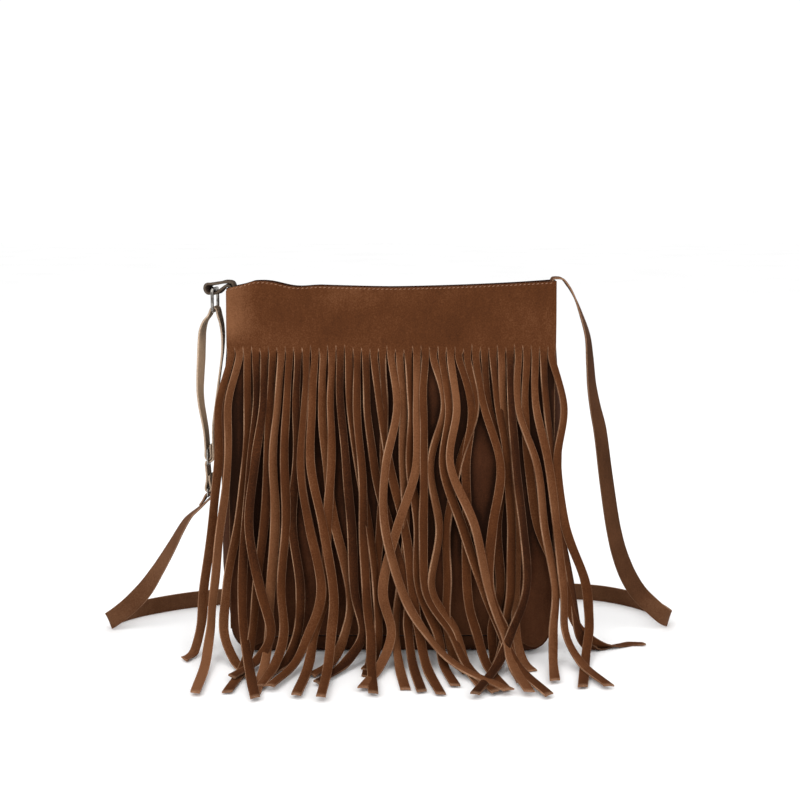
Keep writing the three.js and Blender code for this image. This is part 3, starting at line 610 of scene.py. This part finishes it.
def fringeFaces(rows, columns, bandRows):
    grid = np.arange(count * rows * columns * 2).reshape(count, rows, columns, 2)
    f, b = grid[..., 0], grid[..., 1]

    def quads(*corners):
        shape = np.broadcast_shapes(*(c.shape for c in corners))
        return np.stack([np.broadcast_to(c, shape).ravel() for c in corners], 1)

    r = bandRows
    parts = []
    for g, step in ((f, 1), (b, -1)):
        parts.append(quads(g[:, :-1, :-1], g[:, 1:, :-1], g[:, 1:, 1:], g[:, :-1, 1:])[:, ::step])  # strand faces
        left, right = g[:-1, :r + 1, -1], g[1:, :r + 1, 0]  # band between the strands
        parts.append(quads(left[:, :-1], left[:, 1:], right[:, 1:], right[:, :-1])[:, ::step])
    for c, step in ((0, 1), (columns - 1, -1)):  # cut sides below the slits
        parts.append(quads(f[:, r + 1:, c], f[:, r:-1, c], b[:, r:-1, c], b[:, r + 1:, c])[:, ::step])
    parts.append(quads(f[0, 1:r + 1, 0], f[0, :r, 0], b[0, :r, 0], b[0, 1:r + 1, 0]))  # the band's two ends
    parts.append(quads(f[-1, :r, -1], f[-1, 1:r + 1, -1], b[-1, 1:r + 1, -1], b[-1, :r, -1]))
    parts.append(quads(f[1:, r, 0], f[:-1, r, -1], b[:-1, r, -1], b[1:, r, 0]))  # tops of the slits
    topF, topB = f[:, 0].ravel(), b[:, 0].ravel()
    parts.append(quads(topF[:-1], topF[1:], topB[1:], topB[:-1]))
    parts.append(quads(f[:, -1, 1:], f[:, -1, :-1], b[:, -1, :-1], b[:, -1, 1:]))  # tips
    return np.concatenate(parts).tolist()


points, bandRows, share = fringePoints()
rows, columns = points.shape[1:3]
cutEdge = np.zeros(points.shape[:-1])
fray = 0.72 + 0.5 * strandWave(share, 28, 5)[..., None]  # pale fibres come and go along the cut
# Pale cut fibres along both edges of each strand; the left edge is kept paler and the right duller, a painted
# highlight on the left edge and painted shade on the right
cutEdge[:, bandRows:, 0] = (0.65 + 0.4 * scatter(index, 7)[:, None, None]) * fray
cutEdge[:, bandRows:, -1] = (0.2 + 0.5 * scatter(index, 8)[:, None, None]) * fray[:, ::-1]
cutEdge[:, -1] = 0.45
# Painted light and shade across each strand: lighter towards its left edge, darker towards its right, as if lit from
# the left
sideShadeStrength = 0.6 + 0.8 * scatter(index, 11)[:, None, None, None]  # from one cut edge to the other
napAndSideShade = np.array([0.12, 0.1, 0.06, 0, -0.06, -0.1, -0.12])[:, None] * sideShadeStrength
ownTone = (0.7 * scatter(index, 4) - 0.42 + 0.35 * (1 - smooth(startX, -half, -half + 16)))[:, None, None, None]
# Painted light: the band's left end is painted lighter, as if lit from the left
leftEndLight = (1 - smooth(points[..., 0], -half, -half + 30)) * smooth(points[..., 2], slitZ, slitZ + 20)
tone = 0.05 * sway(points[..., 0], points[..., 2], 21, 4, 90) + 0.4 * leftEndLight
tone[:, bandRows:] += (napAndSideShade + ownTone) * smooth(share, 0.03, 0.2)[:, None, None]
leftLow = (1 - smooth(startX, -110, -45))[:, None, None, None] * smooth(share, 0.45, 0.65)[:, None, None]
tone[:, bandRows:] += 0.22 * leftLow  # lighter low on the left
marks = {"cutEdge": cutEdge, "tone": tone}
fringePiece = solid("fringe", points, fringeFaces(rows, columns, bandRows), fringeSuede, marks=marks)
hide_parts("fringe_panel")

# Painted shade on the front wall under the strands, from the distance to the nearest strand's middle line at the same
# height; low down the wall is painted lighter instead, as painted light
lines = points[:, bandRows:, 3, 0]
frontWall, wallPoints = walls["front_panel"]
wallX, wallZ = wallPoints[..., 0].ravel(), wallPoints[..., 2].ravel()
middles = [np.interp(wallZ, np.maximum.accumulate(s[::-1, 2]), s[::-1, 0]) for s in lines]
near = np.min([np.abs(wallX - m) for m in middles], axis=0)
shaded = (0.5 * smooth(near, 3, 9) - 0.62) * smooth(wallZ, 20, 110) + 0.25 * (1 - smooth(wallZ, 50, 140))
wallTone = (evenTone(wallPoints, 3, 0.08) + shaded).astype(np.float32)
frontWall.data.attributes["tone"].data.foreach_set("value", wallTone)
print("fringe made:", count, "strands")


# Flat straps: a 14-point profile with eased edges, carried along a route with its own width direction

strap = {"width": 15, "thickness": 1.6, "ease": 0.35}


def strapProfile(width, thickness, ease):
    w, t = width / 2, thickness / 2
    profile = [(-w, t / 2), (-w + ease, t), (-w / 2, t), (0, t), (w / 2, t), (w - ease, t), (w, t / 2)]
    return np.array(profile + [(a, -b) for a, b in profile[::-1]])


def strapSections(centre, along, widths):
    across = unit(widths - along * (widths * along).sum(-1, keepdims=True))
    return centre, across, np.cross(across, along)


def strapSolid(name, sections, width, thickness, finish, body="bag", shade=None):  # shade: a tone for each station
    profile = strapProfile(width, thickness, strap["ease"])
    points = sweep(*sections, profile)
    tone = 0.1 * sway(points[..., 0] + points[..., 1], points[..., 2], 31, 4, 60)
    if shade is not None:
        tone = tone + shade[:, None]
    marks = {"cutEdge": np.tile((np.abs(profile[:, 0]) > width / 2 - 0.01) * 0.8, len(points)), "tone": tone}
    return solid(name, points, sweepFaces(len(points), len(profile), False), finish, body, marks, 60)


# Left hardware: tab, ring, slider and link; n runs square to the ring's plane, z up

ring = {"reach": 10.5, "drop": 0.8, "wire": 2.6, "innerHeight": 15, "sideRoom": 1.5, "yaw": 5, "corner": 4}
frameCut = {
    "bar": 1.6, "sideRoom": 0.7, "corner": 2, "sliderDrop": 120, "sliderOffset": -7, "linkDrop": 147,
    "linkOffset": -7.5, "sewnTail": 11,
}
tab = {"width": 14, "thickness": 2.3, "leg": 11, "arch": 3.8, "turn": 22}
gapMm = bag["seamGap"]
upward = np.array([0, 0, 1.0])
yaw = math.radians(ring["yaw"])
away, beside = np.array([math.cos(yaw), -math.sin(yaw), 0]), np.array([math.sin(yaw), math.cos(yaw), 0])
leftTop, rightTop = float(topEdge(-half)), float(topEdge(half))
ringX, ringTopZ = -(half + ring["reach"]), leftTop - ring["drop"]
ringPitch = ring["innerHeight"] + ring["wire"]
ringLowZ = ringTopZ - ringPitch
ringCorner = math.hypot(ring["wire"] / 2, ring["wire"] * 0.3)
ringPass = ringCorner + gapMm + strap["thickness"] / 2
loopRadius = math.hypot(frameCut["bar"], frameCut["bar"]) / 2 + gapMm + strap["thickness"] / 2
barPitch = loopRadius + 1.5 * strap["thickness"] + 2 * gapMm + frameCut["bar"] / 2 + 0.1
besideBar = frameCut["bar"] / 2 + gapMm + strap["thickness"] / 2
outside = loopRadius + strap["thickness"] + 1.4 * gapMm
sliderZ, linkTopZ = ringLowZ - frameCut["sliderDrop"], ringLowZ - frameCut["linkDrop"]
linkLowZ = linkTopZ - barPitch
crossing = sliderZ - loopRadius - strap["thickness"] - gapMm - 0.05


def leftSide(n, b, z):  # point at n square to the ring's plane, b along its bars, height z
    spot = np.array([ringX, 0, 0]) + np.multiply.outer(n, away) + np.multiply.outer(b, beside)
    return spot + np.multiply.outer(z, upward)


def wireProfile(radius):  # fourteen points round the wire
    spin = np.linspace(0, 2 * math.pi, 14, endpoint=False)
    return radius * np.stack([np.cos(spin), np.sin(spin)], 1)


# Metal loop: a round wire carried along a rounded rectangle, half across by half high
def wireLoop(acrossHalf, highHalf, corner, n, z, radius, stations=12):
    quarter = np.linspace(0, math.pi / 2, stations)
    b, h, db, dh = [], [], [], []
    for turn, sb, sh in ((0, 1, 1), (1, -1, 1), (2, -1, -1), (3, 1, -1)):
        angle = quarter + turn * math.pi / 2
        b.append(sb * (acrossHalf - corner) + corner * np.cos(angle))
        h.append(sh * (highHalf - corner) + corner * np.sin(angle))
        db.append(np.cos(angle))
        dh.append(np.sin(angle))
    b, h, db, dh = (np.concatenate(v) for v in (b, h, db, dh))
    centre = leftSide(np.full(len(b), n), b, z + h)
    outward = db[:, None] * beside + dh[:, None] * upward
    points = sweep(centre, outward, np.broadcast_to(away, centre.shape), wireProfile(radius))
    return points.reshape(-1, 3), sweepFaces(len(b), points.shape[1], True)


def wireBar(acrossHalf, n, z, radius):  # a straight round bar between the frame's two sides
    b = np.linspace(acrossHalf, -acrossHalf, 9)
    centre = leftSide(n + 0 * b, b, z + 0 * b)
    up = np.broadcast_to(upward, centre.shape)
    points = sweep(centre, up, np.broadcast_to(away, centre.shape), wireProfile(radius))
    return points.reshape(-1, 3), sweepFaces(len(b), points.shape[1], False)


ringHalf = (strap["width"] + 2 * ring["sideRoom"] + ring["wire"]) / 2
points, faces = wireLoop(ringHalf, ringPitch / 2, ring["corner"] - ring["wire"] / 2, 0,
                         ringTopZ - ringPitch / 2, ring["wire"] / 2)
strapRing = solid("strapRing", points, faces, nickel, "ring")
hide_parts("strap_ring")

frameHalf = (strap["width"] + 2 * frameCut["sideRoom"] + frameCut["bar"]) / 2
wire = frameCut["bar"] / 2
points, faces = wireLoop(frameHalf, barPitch, frameCut["corner"] - wire, frameCut["sliderOffset"], sliderZ, wire)
barPoints, barFaces = wireBar(frameHalf, frameCut["sliderOffset"], sliderZ, wire)
faces = faces + [[i + len(points) for i in f] for f in barFaces]
slider = solid("strapSlider", np.concatenate([points, barPoints]), faces, nickel, "slider")
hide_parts("strap_slider")

points, faces = wireLoop(frameHalf, barPitch / 2, frameCut["corner"] - wire, frameCut["linkOffset"],
                         (linkTopZ + linkLowZ) / 2, wire)
link = solid("strapLink", points, faces, nickel)
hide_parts("strap_link")

tabHalf = tab["thickness"] / 2
innerFace = -half + bag["leather"]
legLow = innerFace + gapMm + tabHalf
legHigh = legLow + tab["thickness"] + gapMm
loopFloor = ringTopZ - ringCorner - gapMm - tabHalf - 0.1
yawSway = math.sin(math.radians(tab["turn"]) - yaw) * tab["width"] / 2
loopEnd = ringX - ringCorner - yawSway - gapMm - tabHalf
overEdge = leftTop + gapMm + tabHalf
tabKnots = np.array([  # sideways, height, share of the turn
    [legHigh, leftTop - tab["leg"], 0], [legHigh, leftTop - tab["leg"] / 2, 0], [legHigh, overEdge, 0],
    [legHigh - 1.4, overEdge + tab["thickness"] + gapMm, 0], [-half - 1, overEdge + tab["thickness"] + 1.1, 0],
    [-half + 0.6 * (ringX + half), leftTop + tab["arch"], 0.5], [ringX - 0.5, leftTop + tab["arch"] - 0.6, 0.9],
    [loopEnd + 0.9, ringTopZ + 0.75 * tab["arch"], 1], [loopEnd, ringTopZ + 0.6, 1],
    [loopEnd + 1.3, ringTopZ - 2.2, 1], [ringX - yawSway * 0.6, loopFloor, 0.9],
    [ringX + yawSway + 1, loopFloor, 0.5], [-half - 2.6, overEdge - 1.2, 0.1], [-half - 0.6, overEdge + 0.25, 0],
    [innerFace - 0.2, overEdge + 0.3, 0], [legLow, overEdge - 1, 0], [legLow, leftTop - tab["leg"] / 2, 0],
    [legLow, leftTop - tab["leg"], 0],
])
tabLine = np.stack([tabKnots[:, 0], 0 * tabKnots[:, 0], tabKnots[:, 1]], 1)
at = np.linspace(0, 1, 140)
centre, along = route(tabLine, at, 0.5)
turn = math.radians(tab["turn"]) * np.interp(at * (len(tabKnots) - 1), np.arange(len(tabKnots)), tabKnots[:, 2])
sections = strapSections(centre, along, np.stack([np.sin(turn), np.cos(turn), 0 * turn], 1))
tabPiece = strapSolid("ringTab", sections, tab["width"], tab["thickness"], tabShadedSuede)
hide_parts("ring_tab")
print("tab and metal made")


# A strap end sewn round a bar: up on one side, round it and back on the other; rows are tail share, along and out
endLoop = np.array([
    [1, 0.5, 0], [0.55, 0.62, 0.25], [0, 0.92, 0.95], [0, 0, 1], [0, -0.71, 0.71], [0, -1, 0], [0, -0.71, -0.71],
    [0, 0, -1], [0, 0.92, -0.95], [0.55, 0.62, -0.25], [1, 0.5, 0],
])


def sewnLoop(dx, dz):
    tail, up, out = endLoop.T
    side = np.where(np.arange(len(endLoop)) < len(endLoop) / 2, 1, -1)
    layers = (strap["thickness"] + gapMm) / 2 + 0.05
    on = np.where(tail > 0, tail * frameCut["sewnTail"], up * loopRadius)
    apart = np.where(tail > 0, side * (layers + (1 - tail) * 0.6), out * loopRadius)
    return np.stack([dx * on + dz * apart, dz * on - dx * apart], 1)


# Adjuster: from the link up through the slider, over the ring's lower bar and back to the slider's middle bar.
# It is four pieces, each following two bodies at most
so, rl, sz, lo = frameCut["sliderOffset"], ringLowZ, sliderZ, frameCut["linkOffset"]
lowKnots = np.array([
    [so - besideBar - 0.1, sz - barPitch - 2.5], [so - besideBar - 0.25, sz - barPitch + 0.2],
    [so - besideBar * 0.8, crossing - 0.15], [so, crossing], [so + besideBar * 0.9, crossing + 0.15],
    [so + outside * 0.82, crossing + 1.4], [so + outside, crossing + 3.8], [so + outside, sz + 4],
    [so + outside, sz + 11],
])
topKnots = np.array([
    [ringPass, rl + 0.2], [ringPass * 0.71, rl + ringPass * 0.71], [0, rl + ringPass],
    [-ringPass * 0.71, rl + ringPass * 0.71], [-ringPass, rl + 0.2],
])
endKnots = np.array([
    [so - besideBar - 0.3, sz + barPitch + 4], [so - besideBar - 0.15, sz + barPitch], [so - loopRadius, sz + 0.4],
    [so - 0.71 * loopRadius, sz - 0.71 * loopRadius], [so, sz - loopRadius],
    [so + 0.71 * loopRadius, sz - 0.71 * loopRadius], [so + loopRadius, sz + 0.4],
    [so + besideBar + 0.1, sz + barPitch], [so + besideBar + 0.1, sz + barPitch + 3.5],
])
rightRun = np.array([  # sideways, share of the way from the ring's lower bar to the slider, turn in degrees
    [-2.6, 0.78, -2], [-0.6, 0.64, -6], [1.4, 0.51, -9], [3.7, 0.385, -9], [5.5, 0.275, -8], [6, 0.17, -5],
    [5, 0.085, -2], [3.5, 0.034, 0],
])
leftRun = np.array([
    [-4.4, 0.032, 0], [-8.3, 0.074, 3], [-10.8, 0.137, 7], [-11.8, 0.22, 9], [-12.6, 0.34, 10], [-13.6, 0.46, 8],
    [-14, 0.56, 5], [-13.2, 0.65, 3], [-11.4, 0.745, 1], [so - besideBar - 1, 0.83, 0],
])
for run in (rightRun, leftRun):
    run[:, 1] = rl - frameCut["sliderDrop"] * run[:, 1]
unturned = [np.pad(k, ((0, 0), (0, 1))) for k in (sewnLoop(0, 1) + [lo, linkTopZ], lowKnots, topKnots, endKnots)]
adjusterKnots = np.concatenate([unturned[0], unturned[1], rightRun, unturned[2], leftRun, unturned[3]])
lastKnot = len(adjusterKnots) - 1
adjusterLine = leftSide(adjusterKnots[:, 0], 0 * adjusterKnots[:, 0], adjusterKnots[:, 1])
adjusterParts = (  # name, first and last knot, moving body, heights where the bag's hold ends and the body's begins
    ("adjusterLow", 0, 14, "slider", linkTopZ + 11.5, crossing - 2),
    ("adjusterRight", 14, 24, "slider", rl - 34, sz + 9),
    ("adjusterTop", 24, 36, "ring", rl - 15, rl + 1),
    ("adjusterLeft", 36, lastKnot, "slider", rl - 30, sz + 12),
)
for name, first, last, body, holdZ, freeZ in adjusterParts:
    at = np.linspace(first, last, (last - first) * 9 + 1) / lastKnot
    centre, along = route(adjusterLine, at, 0.5)
    turn = np.radians(np.interp(at * lastKnot, np.arange(lastKnot + 1), adjusterKnots[:, 2]))[:, None]
    sections = strapSections(centre, along, np.sin(turn) * away + np.cos(turn) * beside)
    # Painted shade where the adjuster wraps over the ring's lower bar; low down by the slider and the link it is also
    # darker
    wearAndShade = -0.35 * smooth(centre[:, 2], rl - 30, rl - 8) - 0.3 * (1 - smooth(centre[:, 2], sz + 6, sz + 40))
    piece = strapSolid(name, sections, strap["width"], strap["thickness"], adjusterSuede, None, wearAndShade)
    holdZ * 0.001
    freeZ * 0.001
    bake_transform(piece)
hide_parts("adjuster_strap")


# Long strap: from the right top corner down to a fold on the floor, behind the bag on its edge, to a fold on the left
# and up to the link; each row is a point and the direction of the strap's width there
rightFace = half - bag["leather"] - gapMm - strap["thickness"] / 2
overRight = rightTop + gapMm + strap["thickness"] / 2
tailRun = (-0.62, -0.785)  # away from the link: square to the ring's plane, and up
sewn = sewnLoop(*tailRun)
sewnSpots = leftSide(lo + sewn[:, 0], 0 * sewn[:, 0], linkLowZ + sewn[:, 1])
sewnRows = np.concatenate([sewnSpots, np.broadcast_to(beside, sewnSpots.shape)], 1)
longRows = np.concatenate([sewnRows, np.array([
    [-165.3, 6.3, 111, 0.03, 0.98, 0.1], [-173.5, 9.5, 101.5, -0.2, 0.93, 0.25],
    [-187, 16, 78.3, -0.41, 0.85, 0.33], [-199.5, 21, 57.6, -0.55, 0.7, 0.44], [-211, 25, 40.5, -0.66, 0.42, 0.6],
    [-223, 28, 27, -0.7, 0.1, 0.7], [-235, 31, 16.2, -0.6, 0, 0.78], [-245, 34, 8.6, -0.38, 0, 0.92],
    [-244, 44, 8, -0.15, 0, 1], [-234, 60, 7.9, 0, 0, 1], [-216, 76, 7.9, 0, 0, 1], [-177, 98, 7.9, 0, 0, 1],
    [-100, 117, 7.9, 0, 0, 1], [0, 126, 7.9, 0, 0, 1], [100, 127, 7.9, 0, 0, 1], [186, 118, 7.9, 0, 0, 1],
    [211, 104, 7.9, 0, 0, 1], [229, 85, 7.9, 0, 0, 1], [239, 60, 7.9, 0.05, 0, 1], [242, 43, 8.1, 0.25, 0, 0.97],
    [236.5, 34.5, 12, 0.5, 0, 0.85], [225.3, 33, 21.9, 0.68, 0, 0.72], [213.5, 32, 33.9, 0.76, 0.05, 0.64],
    [204, 30, 48.7, 0.84, 0.2, 0.5], [195.4, 27, 69, 0.86, 0.4, 0.3], [189, 24, 92, 0.84, 0.5, 0.2],
    [181, 20, 136, 0.82, 0.55, 0.15], [174, 16, 180, 0.76, 0.64, 0.1], [169.5, 13, 198, 0.65, 0.75, 0.1],
    [165.5, 10, 218, 0.54, 0.84, 0.1], [163, 7, 240, 0.46, 0.89, 0.1], [160.3, 4.5, 260, 0.34, 0.94, 0],
    [154, 2.5, 279, 0.2, 0.98, 0], [148.6, 1, 292, 0.08, 1, 0], [143.4, 0, 301, 0, 1, 0],
    [0.4 * rightFace + 0.6 * 143.4, 0, overRight + 0.1, 0, 1, 0], [half + 0.8, 0, overRight + 0.8, 0, 1, 0],
    [half - bag["leather"] - 0.2, 0, overRight + 0.4, 0, 1, 0], [rightFace, 0, overRight - 1.5, 0, 1, 0],
    [rightFace, 0, rightTop - tab["leg"] / 2, 0, 1, 0], [rightFace, 0, rightTop - tab["leg"], 0, 1, 0],
])])[::-1]
at = np.linspace(0, 1, (len(longRows) - 1) * 9 + 1)
centre, along = route(longRows[:, :3], at, 0.5)
knotAt = at * (len(longRows) - 1)
widths = np.stack([np.interp(knotAt, np.arange(len(longRows)), longRows[:, 3 + k]) for k in range(3)], 1)
# The run up to the right corner is darker
strapTone = 0.15 - 0.4 * smooth(centre[:, 0], 120, 150) * smooth(centre[:, 2], 20, 60)
sections = strapSections(centre, along, widths)
longStrap = strapSolid("longStrap", sections, strap["width"], strap["thickness"], strapSuede, shade=strapTone)
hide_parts("long_strap")
(centre * 0.001).tolist()


# Stitches: short rounded beads of thread, each an ellipse of length by thickness laid along its row

stitch = {"pitch": 3.6, "length": 2.6, "thick": 0.7, "sink": 0.12, "drop": 1.2, "slant": 0.3, "rings": 6}


def stitchBeads(spots, along, outward):
    n = stitch["rings"]
    s = np.linspace(-1, 1, n)
    spin = np.linspace(0, 2 * math.pi, n, endpoint=False)
    fat = np.sqrt(np.maximum(1 - np.abs(s) ** 2.5, 0.02)) * stitch["thick"] / 2
    sideways = np.cross(along, outward)
    c = spots[:, None, None] + along[:, None, None] * (s * stitch["length"] / 2)[:, None, None]
    wide = sideways[:, None, None] * (fat[:, None] * np.cos(spin))[..., None]
    high = outward[:, None, None] * (fat[:, None] * np.sin(spin))[..., None]
    points = c + wide + high
    one = sweepFaces(n, n, False)
    return points.reshape(-1, 3), [[i + n * n * k for i in f] for k in range(len(spots)) for f in one]


def stitchRow(surface, length):  # surface(s) gives points for shares s of the row; stitches stand at an even pitch
    s = (np.arange(int(length / stitch["pitch"])) + 0.5) / int(length / stitch["pitch"])
    spots, ahead = surface(s), surface(s + 1e-3)
    return spots, unit(ahead - spots)


rowSpots, rowAlong, rowOut = [], [], []
for direction, lift in ((-1, bandBack + bag["leather"]), (1, bag["leather"])):  # along the mouth, front and back
    def mouthRow(s):
        x = (2 * s - 1) * (half - 3)
        z = (backEdge(x) if direction > 0 else frontEdge(x)) - stitch["drop"]
        return np.stack([x, direction * (frontDepth(x, z) + lift - stitch["sink"] + 0.02), z], 1)
    spots, along = stitchRow(mouthRow, bag["width"])
    along = unit(along + np.array([0, 0, stitch["slant"]]))
    rowSpots.append(spots)
    rowAlong.append(along)
    rowOut.append(unit(np.cross(along, upward) * -direction * np.sign(along[:, :1])))
tailAlong = tailRun[0] * away + tailRun[1] * upward
upperTail = leftSide(lo, 0, linkTopZ + 8.2)
lowerTail = leftSide(lo, 0, linkLowZ) + tailAlong * 8.6
for base, run in ((upperTail, upward), (lowerTail, tailAlong)):  # across both sewn tails, on both faces
    out = unit(np.cross(run, beside))
    for turn in (1, -1):
        b = np.linspace(-5, 5, 4)
        rowSpots.append(base + b[:, None] * beside + out * turn * (strap["thickness"] + gapMm / 2 + 0.02))
        rowAlong.append(np.broadcast_to(beside, (4, 3)))
        rowOut.append(np.broadcast_to(out * turn, (4, 3)))
points, faces = stitchBeads(np.concatenate(rowSpots), np.concatenate(rowAlong), np.concatenate(rowOut))
solid("stitches", points, faces, thread)
print("stitches made:", len(points) // stitch["rings"] ** 2)


# Snap halves stay as the CAD has them, in plated metal

for name in ("snap_stud", "snap_socket"):
    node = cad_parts[name]
    node.data.materials.clear()
    node.data.materials.append(nickel)


# Pale floor and soft studio light

studio = {"floor": hue(252, 252, 252), "reach": 8000.0, "world": 1.05, "key": 12, "fill": 5, "top": 5}

floorMaterial, floorWire, floorShader = startMaterial("studio floor")
floorTint = floorWire.noise(floorWire.place(), 3).between(0.3, 0.7).blend(hue(247, 247, 247), studio["floor"])
feed(floorWire, floorShader, Base_Color=floorTint)
floorShader.inputs["Roughness"].default_value = 0.9
edge = studio["reach"]
corners = np.array([[-edge, -edge, -0.05], [edge, -edge, -0.05], [edge, edge, -0.05], [-edge, edge, -0.05]])
floor = solid("floor", corners, [[0, 1, 2, 3]], floorMaterial, None)

world = bpy.data.worlds.new("studio")
world.use_nodes = True
world.node_tree.nodes["Background"].inputs["Color"].default_value = (1, 1, 1, 1)
world.node_tree.nodes["Background"].inputs["Strength"].default_value = studio["world"]
scene.world = world


def softBox(name, place, aim, size, power):
    data = bpy.data.lights.new(name, "AREA")
    data.shape, data.size, data.energy = "SQUARE", size, power
    lamp = bpy.data.objects.new(name, data)
    lamp.location = place
    toward = np.array(aim) - np.array(place)
    flatRun = math.hypot(toward[0], toward[1])
    lamp.rotation_euler = (math.atan2(flatRun, -toward[2]), 0, math.atan2(-toward[0], toward[1]))
    scene.collection.objects.link(lamp)


softBox("key", (-0.9, -1.4, 1.5), (0, 0, 0.15), 0.9, studio["key"])
softBox("fill", (1.2, -1.2, 0.9), (0, 0, 0.15), 1.0, studio["fill"])
softBox("top", (0, -0.2, 1.8), (0, 0, 0.1), 1.2, studio["top"])
scene.view_settings.view_transform = "Standard"
print("studio made")
